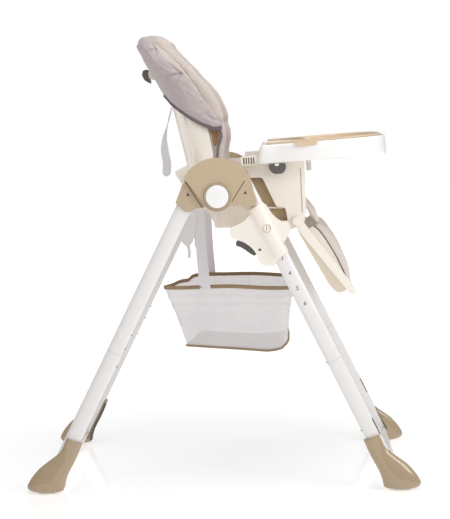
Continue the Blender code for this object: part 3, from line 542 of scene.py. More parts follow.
LEG_LINE = moulded("tube_joint_line", srgb(196, 191, 189), 0.5, 0.1, 900.0, 0.05)
# Dark brown that paints the shadow in the hub cover's gap and groove.
HUB_GAP_SHADE = moulded("hub_painted_gap_shade", srgb(112, 90, 66), 0.6, 0.1, 900.0, 0.05)
# Brown that paints the shadow in the gap between the pad's wings and the shell.
SHADOW_BROWN = moulded("painted_gap_shadow_brown", srgb(176, 138, 88), 0.55, 0.15, 600.0, 0.10)
LEG_WEB = moulded("leg_rest_web_plastic", srgb(240, 228, 208), 0.45, 0.05, 900.0, 0.06)
LEG_CLOTH = woven(
    "leg_cushion_cloth", srgb(246, 238, 231), srgb(218, 205, 196), 300.0, 0.40, 0.6, Sheen_Weight=0.2
)


# ---------------------------------------------------------------- CAD pieces that keep their shape

KEPT = {
    "hub_axle": STEEL,
    "fold_button_spring": STEEL,
    "height_lock_pin": STEEL,
    "backrest_pin": STEEL,
    "leg_rest_knob": CREAM,
}


def finish_kept_nodes():
    for stem, material in KEPT.items():
        for side in SIDES:
            repaint(f"{stem}_{side}", material)
    repaint("front_cross_tube", WHITE_ENAMEL)
    repaint("rear_cross_tube", WHITE_ENAMEL)
    repaint("recline_handle", DARK_PLASTIC_AND_SHADE)


def repaint(name, material):
    obj = frame["nodes"][name]
    for slot in obj.material_slots:
        slot.material = material


def leg_point(distance, outward=0.0):
    """A (y, z) point on the front leg: distance along it from beside the hub, outward across it."""
    out = (-math.cos(FRONT_LEAN), math.sin(FRONT_LEAN))
    down = (-math.sin(FRONT_LEAN), -math.cos(FRONT_LEAN))
    reach = FRONT_OFFSET + outward
    return (HUB[0] + out[0] * reach + down[0] * distance, HUB[1] + out[1] * reach + down[1] * distance)


# ---------------------------------------------------------------- legs


def leg_frame(end):
    """A leg's start beside the hub, its way down and its way out across the tube, in (y, z)."""
    direction, lean, offset = (
        -1, FRONT_LEAN, FRONT_OFFSET
    ) if end == "front" else (1, REAR_LEAN, REAR_OFFSET)
    out = Vector((direction * math.cos(lean), math.sin(lean)))
    down = Vector((direction * math.sin(lean), -math.cos(lean)))
    return Vector(HUB) + out * offset, down, out


def leg_ring(end, side, distance, grow=0.0, count=56):
    start, down, out = leg_frame(end)
    ring = []
    for step in range(count):
        angle = 2 * math.pi * step / count
        y, z = start + down * distance + out * (LEG_HALF_WIDTH + grow) * signed_power(math.sin(angle), 0.86)
        ring.append((SIDES[side] * (LEG_X + (LEG_HALF_X + grow) * signed_power(math.cos(angle), 0.86)), y, z))
    return ring


def leg(end, side):
    """An enamelled tube, open at its ends, with the joint line of its lower length and its stop rivets."""
    name = f"{end}_tube_{side}"
    start, down, out = leg_frame(end)
    far = (start.y - 0.0240) / -down.y
    rings = [leg_ring(end, side, -0.002 + (far + 0.002) * step / 24) for step in range(25)]
    inside = [leg_ring(end, side, -0.002 + (far + 0.002) * step / 24, -0.0015) for step in range(24, -1, -1)]
    tube_body = skin(name, rings + inside + rings[:1], WHITE_ENAMEL, caps=False, angle=60)
    shown(tube_body, f"{end}_frame", "white_enamel", f"{end}_leg_{side}")
    height = 0.327 if end == "rear" else 0.303
    place = (start.y - height) / -down.y
    line = [leg_ring(end, side, place + shift, 0.0002) for shift in (-0.0004, 0.0004)]
    band = skin(name + "_joint_line", line, LEG_LINE, caps=False)
    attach(band, f"{end}_frame")
    for index, z in enumerate((0.3025, 0.3441, 0.3752) if end == "rear" else (0.3052, 0.1450)):
        distance = (start.y - z) / -down.y
        y, z_at = start + down * distance - out * (LEG_HALF_WIDTH - 0.0006)
        rings = []
        for reach, radius in ((0.0, 0.0026), (0.0012, 0.0024), (0.0020, 0.0015), (0.0023, 0.0004)):
            spot = Vector((y, z_at)) - out * reach
            ring = []
            for step in range(16):
                angle = 2 * math.pi * step / 16
                along = spot + down * (radius * math.sin(angle))
                ring.append((SIDES[side] * LEG_X + radius * math.cos(angle), along.x, along.y))
            rings.append(ring)
        rivet = skin(f"{name}_rivet_{index}", rings, DARK_PLASTIC_AND_SHADE, angle=50)
        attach(rivet, f"{end}_frame")


# ---------------------------------------------------------------- boots

# Pairs of (y, z) points, front of the toe and back of the heel, from the collar down to the sole.
BOOT_SECTIONS = [
    ((0.3640, 0.1312), (0.3262, 0.1150)),
    ((0.3700, 0.1170), (0.3312, 0.1020)),
    ((0.3778, 0.1010), (0.3388, 0.0850)),
    ((0.3900, 0.0862), (0.3462, 0.0700)),
    ((0.4085, 0.0725), (0.3545, 0.0550)),
    ((0.4275, 0.0580), (0.3618, 0.0410)),
    ((0.4432, 0.0405), (0.3668, 0.0270)),
    ((0.4530, 0.0260), (0.3690, 0.0180)),
    ((0.4572, 0.0160), (0.3702, 0.0110)),
    ((0.4548, 0.0095), (0.3728, 0.0062)),
    ((0.4470, 0.0045), (0.3795, 0.0030)),
    ((0.4330, 0.0016), (0.3920, 0.0014)),
]
BOOT_INNER = 0.2535


def boot(end, side):
    """A glossy boot: a collar on the leg, a narrow ankle, and a toe that swells outwards."""
    direction = -1 if end == "front" else 1
    fronts = through([front for front, _ in BOOT_SECTIONS], 34)
    backs = through([back for _, back in BOOT_SECTIONS], 34)
    rings = []
    for index, (front, back) in enumerate(zip(fronts, backs)):
        share = index / 33
        outer = 0.2782 + 0.0125 * smooth_step(share, 0.15, 0.66) - 0.0070 * smooth_step(share, 0.80, 1.0)
        middle = (BOOT_INNER + outer) / 2
        half = (outer - BOOT_INNER) / 2
        ring = []
        for step in range(44):
            angle = 2 * math.pi * step / 44
            x = middle + half * signed_power(math.cos(angle), 0.98 if math.cos(angle) > 0 else 0.5)
            along = 0.5 + 0.5 * signed_power(math.sin(angle), 0.88)
            point = back + (front - back) * along
            ring.append((SIDES[side] * x, direction * point[0], point[1]))
        rings.append(ring)
    name = f"boot_{end}_{side}"
    body = skin(name, rings, BOOT_BEIGE, angle=50)
    start, down, out = leg_frame(end)
    far = (start.y - 0.0225) / -down.y
    half = LEG_HALF_WIDTH + 0.0006
    near = far - 0.2
    channel = [start + down * near - out * half, start + down * near + out * half]
    channel += [start + down * far + out * half, start + down * far - out * half]
    slot = plate(name + "_slot", channel, across(side, 0.20, LEG_X + LEG_HALF_X + 0.0006), 0.0001, BOOT_BEIGE)
    carve(body, slot)
    body.data.shade_smooth()
    body.data.set_sharp_from_angle(angle=math.radians(50))
    body_name = "front_frame" if end == "front" else "rear_frame"
    # Painted shade: a dark strip along the inner back edge of the boot, where its inner side falls into shadow.
    strip = []
    for inset in (0.0006, 0.0046):
        for point in backs[2:27] if inset < 0.001 else backs[26:1:-1]:
            strip.append((direction * (point[0] + inset), point[1] + inset * 0.3))
    shade_liner = plate(name + "_edge", strip, across(side, BOOT_INNER + 0.0030, BOOT_INNER - 0.0006), 0.0004, DARK_PLASTIC_AND_SHADE)
    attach(shade_liner, body_name)
    # Painted shade: a dark sliver above the front boot's collar, along the sleeve's inner edge in shadow.
    if end == "front":
        sliver = [(-0.3655, 0.1290), (-0.3478, 0.1660), (-0.3452, 0.1655), (-0.3620, 0.1290)]
        shade_sliver = plate(name + "_tongue", sliver, across(side, 0.2560, 0.2680), 0.0006, DARK_PLASTIC_AND_SHADE, both=True)
        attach(shade_sliver, body_name)
    return shown(body, body_name, "beige_plastic", f"{end}_foot_{side}")


def sole_pad(end, side):
    """The rubber pad set into the boot's sole, with soft ends."""
    direction = -1 if end == "front" else 1
    rings = []
    for z, share in ((0.0, 0.90), (0.0006, 0.97), (0.0014, 1.0), (0.0042, 1.0)):
        ring = []
        for step in range(40):
            angle = 2 * math.pi * step / 40
            x = 0.2690 + 0.0085 * share * signed_power(math.cos(angle), 0.6)
            y = 0.4125 + 0.0200 * share * signed_power(math.sin(angle), 0.6)
            ring.append((SIDES[side] * x, direction * y, z))
        rings.append(ring)
    pad = skin(f"sole_{end}_{side}", rings, RUBBER, angle=50)
    return shown(pad, f"{end}_frame", "black_rubber", f"{end}_foot_pad_{side}")


# ---------------------------------------------------------------- fold hub

def from_hub(points):
    return [(HUB[0] + y, HUB[1] + z) for y, z in points]


def pointer(name, centre, x, body):
    """A small printed triangle that points up."""
    y, z = centre
    shape = [(y - 0.0040, z - 0.0030), (y + 0.0040, z - 0.0030), (y, z + 0.0040)]
    mark = plate(name, shape, (x, x + math.copysign(0.00025, x)), 0.00005, INK)
    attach(mark, body)
    return mark


def ring_solid(name, centre, x_span, inner, outer, material, count=64):
    """A round band on an axis across the chair, with a rounded outer rim."""
    low, high = x_span
    step = math.copysign(1, high - low)
    soft = min(0.0012, (outer - inner) * 0.4)
    profile = [
        (low, outer), (high - step * soft, outer), (high - step * soft * 0.3, outer - soft * 0.3),
        (high, outer - soft), (high, inner + soft), (high - step * soft * 0.3, inner + soft * 0.3),
        (high - step * soft, inner), (low, inner),
    ]
    rings = []
    for index in range(count + 1):
        angle = 2 * math.pi * index / count
        rings.append([
            (x, centre[0] + r * math.cos(angle), centre[1] + r * math.sin(angle))
            for x, r in profile
        ])
    return skin(name, rings, material, caps=False, angle=40)


def hub_edge():
    arch = arc((0, 0), 0.0870, 31, 148, 30)
    wing = [(-0.0762, 0.0400), (-0.0905, -0.0150), (-0.0745, -0.0263), (-0.0690, -0.0325)]
    wing += [(-0.0640, -0.0310), (-0.0550, -0.0225), (-0.0400, -0.0215)]
    return arch + wing + arc((0, 0), 0.0348, 216, 322, 16)


def hub_cap(side):
    """The outer cover over the hub: arched plate, rim, raised ring and a parting groove over the leg."""
    name = f"hub_cap_{side}"
    face = plate(name, from_hub(hub_edge()), across(side, 0.2765, 0.2885), 0.0034, BEIGE, segments=5)
    rim_outline = arc(HUB, 0.0866, 38, 137, 30) + arc(HUB, 0.0818, 137, 38, 30)
    rim = plate(name + "_rim", rim_outline, across(side, 0.2489, 0.2790), 0.0003, BEIGE)
    clamp_corners = [
        leg_point(0.006, -0.012), leg_point(0.006, 0.004), leg_point(0.040, 0.004),
        leg_point(0.040, -0.012)
    ]
    clamp = plate(name + "_clamp", clamp_corners, across(side, 0.2724, 0.2790), 0.0003, BEIGE)
    well_points = arc(HUB, 0.0270, 0, 352.5, 47)
    carve(face, plate(name + "_well", well_points, across(side, 0.24, 0.31), 0.0001, BEIGE_LINE))
    groove = [(-0.0640, 0.0340), (-0.0622, 0.0352), (-0.0322, -0.0120), (-0.0338, -0.0132)]
    carve(face, plate(name + "_groove", from_hub(groove), across(side, 0.2873, 0.31), 0.0001, BEIGE_LINE))
    # Painted shadow: thin dark brown lines in the gap between the cover and the rear wing, and at the bottom of the
    # groove.
    for index, (line, span) in enumerate((
        ([(0.0742, 0.0388), (0.0758, 0.0378), (0.0345, -0.0272), (0.0330, -0.0262)], (0.2752, 0.2764)),
        ([(-0.0636, 0.0340), (-0.0622, 0.0350), (-0.0324, -0.0120), (-0.0336, -0.0130)], (0.2868, 0.2880)),
    )):
        mark = plate(f"hub_gap_shade_{index}_{side}", from_hub(line), across(side, *span), 0.0001, HUB_GAP_SHADE)
        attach(mark, "front_frame")
    ring = ring_solid(name + "_ring", HUB, across(side, 0.2860, 0.2928), 0.0270, 0.0305, BEIGE)
    collar = ring_solid(name + "_collar", HUB, across(side, 0.2860, 0.2908), 0.0312, 0.0350, BEIGE)
    made = join(name, face, rim, clamp, ring, collar)
    pointer(f"hub_pointer_{side}", from_hub([(-0.0640, 0.0080)])[0], SIDES[side] * 0.2885, "front_frame")
    return shown(made, "front_frame", "beige_plastic", f"hub_cover_{side}")


def hub_back_plate(side):
    name = f"hub_back_plate_{side}"
    face = plate(name, from_hub(hub_edge()), across(side, 0.2485, 0.2435), 0.0012, BEIGE)
    clamp_corners = [
        leg_point(0.006, -0.012), leg_point(0.006, 0.004), leg_point(0.040, 0.004),
        leg_point(0.040, -0.012)
    ]
    clamp = plate(name + "_clamp", clamp_corners, across(side, 0.2465, 0.2516), 0.0003, BEIGE)
    return shown(join(name, face, clamp), "front_frame", "beige_plastic", f"hub_inner_plate_{side}")


def rear_wing(side):
    """The wing round the rear leg's top, with its disc on the hub's axle."""
    name = f"rear_wing_{side}"
    edge = [(0.0665, 0.0375), (0.0797, 0.0280), (0.0965, -0.0135), (0.0722, -0.0362), (0.0590, -0.0330)]
    edge += [(0.0480, -0.0268), (0.0297, -0.0240), (0.0120, -0.0240), (0.0120, 0.0200)]
    face = plate(name, soften(from_hub(edge), 0.0030), across(side, 0.2492, 0.2756), 0.0020, BEIGE, both=True)
    disc = plate(name + "_disc", arc(HUB, 0.030, 0, 352, 44), across(side, 0.2493, 0.2755), 0.0004, BEIGE)
    lean = math.radians(26.8)
    out = Vector((math.cos(lean), math.sin(lean)))
    down = Vector((math.sin(lean), -math.cos(lean)))
    start = Vector(HUB) + out * 0.058
    rings = []
    for distance in (-0.0023, 0.15):
        ring = []
        for step in range(36):
            angle = 2 * math.pi * step / 36
            y, z = start + down * distance + out * (LEG_HALF_WIDTH + 0.0005) * math.sin(angle)
            ring.append((SIDES[side] * (LEG_X + (LEG_HALF_X + 0.0005) * math.cos(angle)), y, z))
        rings.append(ring)
    made = carve(join(name, face, disc), skin(name + "_bore", rings, BEIGE))
    bore = plate(name + "_axle", arc(HUB, 0.0064, 0, 345, 23), across(side, 0.22, 0.30), 0.0001, BEIGE)
    carve(made, bore)
    made.data.set_sharp_from_angle(angle=math.radians(35))
    pointer(f"rear_pointer_{side}", from_hub([(0.0668, 0.0050)])[0], SIDES[side] * 0.2756, "rear_frame")
    return shown(made, "rear_frame", "beige_plastic", f"rear_hub_socket_{side}")


def button(side):
    """The round fold button, slightly domed and soft at its rim."""
    profile = [(0.2868, 0.0262), (0.2938, 0.0262), (0.2950, 0.0258), (0.2957, 0.0249), (0.2961, 0.0225)]
    profile += [(0.2963, 0.0160), (0.2965, 0.0070)]
    rings = []
    for x, radius in profile:
        rings.append([(SIDES[side] * x, y, z) for y, z in arc(HUB, radius, 0, 354.375, 63)])
    cap = skin(f"button_{side}", rings, WHITE, angle=60)
    return shown(cap, f"fold_button_{side}", "white_plastic", f"fold_button_{side}")


# ---------------------------------------------------------------- height carriage

CARRIAGE = [
    (-0.0990, 0.6600), (-0.0740, 0.6420), (-0.0580, 0.6265), (-0.0330, 0.6150), (-0.0265, 0.6080),
    (-0.0265, 0.5980), (-0.0330, 0.5880), (-0.0480, 0.5830), (-0.0620, 0.5770), (-0.0780, 0.5640),
    (-0.0870, 0.5500), (-0.0900, 0.5380), (-0.0985, 0.5280), (-0.1110, 0.5235), (-0.1300, 0.5270),
    (-0.1455, 0.5700), (-0.1550, 0.5850), (-0.1625, 0.5980), (-0.1645, 0.6110), (-0.1580, 0.6230),
    (-0.1410, 0.6265), (-0.1240, 0.6420), (-0.1130, 0.6590), (-0.1080, 0.6640),
]
TRIGGER_ROOM = [
    (-0.0360, 0.6030), (-0.0360, 0.5650), (-0.0860, 0.5400), (-0.1020, 0.5560), (-0.1050, 0.5800),
    (-0.0800, 0.5980),
]
SPLIT_X = 0.2622


def carriage_edge():
    return [tuple(point) for point in through(CARRIAGE + CARRIAGE[:1], 96)[:-1]]


def leg_slot(name, side, near, far, grow):
    rings = []
    for distance in (near, far):
        ring = []
        for step in range(40):
            angle = 2 * math.pi * step / 40
            y, z = leg_point(distance, (LEG_HALF_WIDTH + grow) * math.sin(angle))
            ring.append((SIDES[side] * (LEG_X + (LEG_HALF_X + grow) * math.cos(angle)), y, z))
        rings.append(ring)
    return skin(name, rings, CREAM)


def carriage_ridge(name, side):
    """The half-round housing over the leg, with rounded ends."""
    rings = []
    for distance, share in (
        (0.058, 0.72), (0.0595, 0.90), (0.062, 0.97), (0.066, 1.0), (0.180, 1.0), (0.1855, 0.97),
        (0.188, 0.90), (0.189, 0.75)
    ):
        ring = []
        for step in range(40):
            angle = 2 * math.pi * step / 40
            y, z = leg_point(distance, 0.0205 * share * math.sin(angle))
            ring.append((SIDES[side] * (LEG_X + 0.004 + 0.0165 * share * math.cos(angle)), y, z))
        rings.append(ring)
    return skin(name, rings, CREAM, angle=50)


def carriage_outer_half(side):
    name = f"carriage_face_{side}"
    half = plate(name, carriage_edge(), across(side, SPLIT_X + 0.0004, 0.2765), 0.0030, CREAM)
    ridge = carriage_ridge(name + "_ridge", side)
    trim = plate(
        name + "_trim", [(-0.3, 0.4), (0.1, 0.4), (0.1, 0.8), (-0.3, 0.8)],
        across(side, 0.20, SPLIT_X + 0.0004), 0.0001, CREAM
    )
    carve(ridge, trim)
    made = join(name, half, ridge)
    carve(made, leg_slot(name + "_slot", side, 0.0, 0.3, 0.0006))
    carve(made, plate(name + "_room", TRIGGER_ROOM, across(side, 0.2560, 0.2690), 0.0001, CREAM))
    made.data.set_sharp_from_angle(angle=math.radians(38))
    window = leg_point(FIRST_STOP)
    bezel = ring_solid(f"stop_window_{side}", window, across(side, 0.2805, 0.2832), 0.0092, 0.0112, CREAM, 48)
    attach(bezel, "seat_unit")
    shadow = ring_solid(
        f"stop_window_line_{side}", window, across(side, 0.2803, 0.28285), 0.0084, 0.0093, BEIGE_LINE, 48
    )
    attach(shadow, "seat_unit")
    pointer(f"carriage_pointer_{side}", (-0.0945, 0.5620), SIDES[side] * 0.2765, "seat_unit")
    return shown(made, "seat_unit", "cream_plastic", f"carriage_outer_{side}")


def carriage_inner_half(side):
    name = f"carriage_back_{side}"
    half = plate(name, carriage_edge(), across(side, SPLIT_X, 0.2475), 0.0030, CREAM)
    neck = [(-0.0680, 0.5960), (-0.0680, 0.6180), (-0.0900, 0.6260), (-0.1350, 0.6240)]
    neck += [(-0.1480, 0.6100), (-0.1400, 0.5960)]
    arm = plate(name + "_neck", soften(neck, 0.005), across(side, 0.2064, 0.2495), 0.0004, CREAM)
    made = join(name, half, arm)
    carve(made, leg_slot(name + "_slot", side, 0.0, 0.3, 0.0006))
    carve(made, plate(name + "_room", TRIGGER_ROOM, across(side, 0.2560, 0.2690), 0.0001, CREAM))
    pin = leg_point(FIRST_STOP)
    carve(
        made,
        plate(name + "_bore", arc(pin, 0.0045, 0, 337.5, 15), across(side, 0.2300, 0.2560), 0.0001, CREAM)
    )
    made.data.set_sharp_from_angle(angle=math.radians(38))
    return shown(made, "seat_unit", "cream_plastic", f"carriage_inner_{side}")


def trigger(side):
    """The squeeze lever: a thin curved blade with a thicker thumb end."""
    blade = [
        (-0.0395, 0.5785), (-0.0405, 0.5700), (-0.0500, 0.5675), (-0.0620, 0.5600), (-0.0725, 0.5520),
        (-0.0830, 0.5460), (-0.0925, 0.5600), (-0.1015, 0.5660), (-0.1015, 0.5740), (-0.0950, 0.5765),
        (-0.0800, 0.5740), (-0.0600, 0.5860), (-0.0440, 0.5830),
    ]
    name = f"trigger_{side}"
    made = plate(name, soften(blade, 0.003), across(side, 0.2570, 0.2680), 0.0014, DARK_PLASTIC_AND_SHADE, both=True)
    return shown(made, f"height_trigger_{side}", "dark_plastic", f"height_trigger_{side}")


def stop_numbers(side):
    """The stop numbers printed on the outer face of the front leg."""
    for stop in range(1, 7):
        curve = bpy.data.curves.new(f"stop_number_{stop}_{side}", "FONT")
        curve.body = str(stop)
        curve.align_x = "CENTER"
        curve.align_y = "CENTER"
        curve.size = 0.0135
        curve.extrude = 0.0001
        text = bpy.data.objects.new(curve.name, curve)
        SCENE.collection.objects.link(text)
        lift = 0.2824 if stop == 1 else LEG_X + LEG_HALF_X + 0.00015
        y, z = leg_point(FIRST_STOP + (stop - 1) * STOP_PITCH)
        facing = SIDES[side]
        columns = [Vector((0, facing, 0)), Vector((0, 0, 1)), Vector((facing, 0, 0))]
        turn = Matrix(columns).transposed().to_4x4()
        text.matrix_world = Matrix.Translation((facing * lift, y, z)) @ turn
        curve.materials.append(INK)
        bpy.context.view_layer.update()
        graph = bpy.context.evaluated_depsgraph_get()
        mesh = bpy.data.meshes.new_from_object(text.evaluated_get(graph))
        made = bpy.data.objects.new(f"stop_mark_{stop}_{side}", mesh)
        made.matrix_world = text.matrix_world.copy()
        SCENE.collection.objects.link(made)
        bpy.data.objects.remove(text, do_unlink=True)
        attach(made, "seat_unit" if stop == 1 else "front_frame")


def build_frame():
    finish_kept_nodes()
    for side in SIDES:
        leg("front", side)
        leg("rear", side)
        boot("front", side)
        boot("rear", side)
        sole_pad("front", side)
        sole_pad("rear", side)
        hub_cap(side)
        hub_back_plate(side)
        rear_wing(side)
        button(side)
        carriage_outer_half(side)
        carriage_inner_half(side)
        trigger(side)
        stop_numbers(side)


# ---------------------------------------------------------------- seat

SEAT_WALL = [
    (-0.2000, 0.7630), (-0.2030, 0.6450), (-0.1975, 0.6150), (-0.1850, 0.6035), (-0.1700, 0.6035),
    (-0.1560, 0.5950), (-0.0600, 0.5920), (-0.0320, 0.6080), (0.0060, 0.6070), (0.0250, 0.6460),
    (0.0650, 0.6600), (0.0850, 0.7120), (0.1020, 0.7390), (0.0750, 0.7530), (0.0000, 0.7560),
    (-0.0560, 0.7570),
]
SEAT_RECESS = [
    (-0.0660, 0.7230), (-0.1020, 0.7225), (-0.1340, 0.6540), (-0.1540, 0.6530), (-0.1600, 0.6215),
    (-0.1180, 0.6235), (-0.0780, 0.6700),
]


def in_tray_frame(obj):
    """Turns a piece made level at the tray's origin to the tray's tilt."""
    obj.data.transform(
        Matrix.Translation((0, *TRAY_ORIGIN)) @ Matrix.Rotation(-TRAY_TILT, 4, "X")
    )
    return obj


def seat_side(side):
    """A side wall with its sunken panel, the ribs below and the armrest rack above. The panel is sunk in the shape,
    but its darker tan, on the panel, its liner and a thin line near the wall's front, is painted shade.
    """
    name = f"seat_side_{side}"
    wall = plate(name, soften(SEAT_WALL, 0.006), across(side, 0.2000, 0.2060), 0.0012, CREAM)
    recess = soften(SEAT_RECESS, 0.005)
    carve(wall, plate(name + "_opening", recess, across(side, 0.19, 0.22), 0.0001, CREAM))
    centre = Vector((sum(y for y, _ in recess) / len(recess), sum(z for _, z in recess) / len(recess)))
    grown = [tuple(centre + (Vector(point) - centre) * 1.03) for point in recess]
    # Painted shade: the panel behind the opening and its liner are darker tan.
    back = plate(name + "_panel", grown, across(side, 0.1935, 0.1905), 0.0004, RECESS_SHADE_TAN)
    rings = []
    for x, grow in ((0.1925, 1.0), (0.2052, 1.0), (0.2052, 1.02), (0.1925, 1.02)):
        rings.append([(SIDES[side] * x, *(centre + (Vector(point) - centre) * grow)) for point in recess])
    rings.append(rings[0])
    shade_liner = skin(name + "_liner", rings, RECESS_SHADE_TAN, caps=False)
    parts = [wall, back, shade_liner]
    for index, (y, width) in enumerate(((0.0030, 0.0075), (-0.0345, 0.0060))):
        ring_rows = []
        for z in (0.6085, 0.6100, 0.6560, 0.6640):
            share = 1.0 if z < 0.65 else 0.6
            lean = (z - 0.6085) * 0.10
            ring_rows.append([
                (
                    SIDES[side] * (0.2040 + 0.0075 * share * math.sin(math.pi * step / 10)),
                    y + lean + width * math.cos(math.pi * step / 10), z
                )
                for step in range(11)
            ])
        parts.append(skin(f"{name}_flute_{index}", ring_rows, CREAM))
    parts.append(armrest_rail(side))
    # Painted shade: a thin darker tan line near the wall's front edge.
    shade_line = [(-0.1915, 0.7440), (-0.1895, 0.7440), (-0.1925, 0.6400), (-0.1945, 0.6400)]
    parts.append(plate(f"{name}_crease", shade_line, across(side, 0.2054, 0.2062), 0.0001, RECESS_SHADE_TAN))
    return join(name, *parts)


def armrest_rail(side):
    """The rail under the tray's arm, with a row of stop teeth behind it; a darker plate behind the notches paints the
    shade inside them.
    """
    name = f"armrest_{side}"
    rail_edge = soften([(-0.112, 0.0010), (0.034, 0.0010), (0.034, 0.0220), (-0.112, 0.0220)], 0.003)
    rail = plate(name, rail_edge, across(side, 0.1970, 0.2220), 0.0015, CREAM, both=True)
    for tooth in range(5):
        y = 0.0025 + tooth * 0.0058
        notch = [(y, 0.0035), (y + 0.0028, 0.0035), (y + 0.0028, 0.0185), (y, 0.0185)]
        carve(rail, plate(f"{name}_notch_{tooth}", notch, across(side, 0.2110, 0.23), 0.0001, RECESS_SHADE_TAN))
    # Painted shade: a darker plate seen through the notches.
    back = plate(f"{name}_notch_shade", [(0.0015, 0.0030), (0.0305, 0.0030), (0.0305, 0.0190), (0.0015, 0.0190)],
                 across(side, 0.2098, 0.2112), 0.0001, BEIGE_LINE)
    return in_tray_frame(join(name, rail, back))


def slab(name, x_span, y_span, z_span, material, edge=0.0012):
    """A moulded panel with rounded rims all round."""
    outline = [(y_span[0], z_span[0]), (y_span[1], z_span[0]), (y_span[1], z_span[1]), (y_span[0], z_span[1])]
    return plate(name, outline, x_span, edge, material, both=True)


def seat():
    parts = [seat_side(side) for side in SIDES]
    parts.append(slab("seat_floor", (-0.2015, 0.2015), (-0.197, 0.060), (0.650, 0.654), CREAM))
    parts.append(slab("seat_lip", (-0.2015, 0.2015), (-0.2005, -0.1965), (0.628, 0.653), CREAM))
    parts.append(slab("seat_heel", (-0.2015, 0.2015), (0.0570, 0.0610), (0.651, 0.676), CREAM))
    rib = [(0.0240, 0.6520), (0.0110, 0.6100), (-0.0300, 0.6100), (-0.0520, 0.6180), (-0.0600, 0.6520)]
    for index, x in enumerate((-0.150, -0.050, 0.050, 0.150)):
        parts.append(
            plate(f"seat_rib_{index}", soften(rib, 0.004), (x - 0.002, x + 0.002), 0.0006, CREAM, both=True)
        )
    made = join("seat_moulding", *parts)
    return shown(made, "seat_unit", "cream_plastic", "seat_shell")


# ---------------------------------------------------------------- tray

def tray_edge(inset, count=40):
    """The tray in plan, with y from the tray's origin: two arms, a curved front and a belly cut-out."""
    half = 0.250 - inset
    front = -(0.312 - inset)
    arm_half = 0.232 - inset
    belly_half = 0.186 + inset
    rear = -0.002 - inset
    corners = [(belly_half, rear), (arm_half, rear), (arm_half + 0.002, -0.050), (half - 0.004, -0.094)]
    outline = soften_open(corners, 0.012)
    for index in range(count + 1):
        angle = math.pi * index / count
        x = half * signed_power(math.cos(angle), 0.62)
        y = -0.140 + (front + 0.140) * abs(math.sin(angle)) ** 0.72
        outline.append((x, y))
    outline += [(-x, y) for x, y in reversed(soften_open(corners, 0.012))]
    for index in range(0, 17):
        angle = math.pi * index / 16
        x = -belly_half * math.cos(angle)
        y = -0.050 - inset - 0.062 * abs(math.sin(angle)) ** 0.8
        outline.append((x, y))
    return outline


def soften_open(points, radius, steps=4):
    """Rounds the inner corners of an open run of points and its first corner."""
    made = []
    for index, point in enumerate(points):
        corner = Vector(point)
        if index == len(points) - 1:
            made.append(tuple(corner))
            continue
        before = (Vector(points[index - 1]) if index else corner + Vector((0, -0.02))) - corner
        after = Vector(points[index + 1]) - corner
        start = corner + before.normalized() * min(radius, before.length * 0.45)
        end = corner + after.normalized() * min(radius, after.length * 0.45)
        for step in range(steps + 1):
            t = step / steps
            made.append(tuple(start * (1 - t) ** 2 + corner * 2 * t * (1 - t) + end * t**2))
    return made


def tray_rows(profile):
    rows = []
    for inset, z, rise in profile:
        rows.append([
            (
                x, y - 0.24 * max(z, 0.0) * (1 - smooth_step(-y, 0.0, 0.060)),
                z - rise * smooth_step(-y, 0.150, 0.312)
            )
            for x, y in tray_edge(inset)
        ])
    return rows


def tray_body():
    """The white lower tray: hollow below, dished above, with soft rims."""
    profile = [
        (0.0045, 0.0255, 0.0), (0.0045, 0.0060, 0.006), (0.0035, 0.0030, 0.006), (0.0020, 0.0022, 0.006),
        (0.0006, 0.0034, 0.006), (0.0000, 0.0060, 0.006), (0.0000, 0.0280, 0.002), (0.0008, 0.0405, 0.0),
        (0.0018, 0.0436, 0.0), (0.0030, 0.0446, 0.0), (0.0046, 0.0440, 0.0), (0.0056, 0.0420, 0.0),
        (0.0062, 0.0310, 0.0), (0.0075, 0.0292, 0.0), (0.0120, 0.0290, 0.0),
    ]
    body = skin("tray_body", tray_rows(profile), WHITE, angle=45)
    for side in SIDES:
        mouth = [(-0.012, -0.03), (0.010, -0.03), (0.010, 0.0245), (-0.012, 0.0245)]
        carve(body, plate(f"tray_mouth_{side}", mouth, across(side, 0.1940, 0.2250), 0.0001, WHITE))
    peg_edge = soften([(-0.131, -0.030), (-0.119, -0.030), (-0.119, 0.0265), (-0.131, 0.0265)], 0.003)
    peg = plate("tray_peg", peg_edge, (-0.012, 0.012), 0.002, WHITE, both=True)
    made = in_tray_frame(join("tray_body", body, peg))
    made.data.set_sharp_from_angle(angle=math.radians(45))
    return shown(made, "tray", "white_plastic", "tray_base")


def tray_top():
    """The tan lift-off tray: a thin rim, a deep dish and a clip on each side."""
    profile = [
        (0.0200, 0.0300, 0.0), (0.0115, 0.0302, 0.0), (0.0095, 0.0320, 0.0), (0.0084, 0.0430, 0.0),
        (0.0068, 0.0450, 0.0), (0.0066, 0.0470, 0.0), (0.0076, 0.0490, 0.0), (0.0100, 0.0497, 0.0),
        (0.0125, 0.0487, 0.0), (0.0145, 0.0450, 0.0), (0.0170, 0.0368, 0.0), (0.0210, 0.0342, 0.0),
        (0.0260, 0.0338, 0.0),
    ]
    top = skin("tray_top", tray_rows(profile), INSERT_TAN, angle=45)
    clips = []
    for side in SIDES:
        clip_edge = soften(
            [(-0.1440, 0.0360), (-0.0960, 0.0360), (-0.0920, 0.0478), (-0.1480, 0.0478)], 0.003
        )
        clips.append(
            plate(f"tray_clip_{side}", clip_edge, across(side, 0.2430, 0.2513), 0.0008, INSERT_TAN, both=True)
        )
    made = join("tray_top", top, *clips)
    for vertex in made.data.vertices:
        vertex.co.y = -0.0300 + (
            vertex.co.y + 0.0300
        ) * 0.985 if vertex.co.y < -0.0300 else -0.0300 + (vertex.co.y + 0.0300) * 0.25
    in_tray_frame(made)
    return shown(made, "tray_insert", "beige_plastic", "tray_insert")


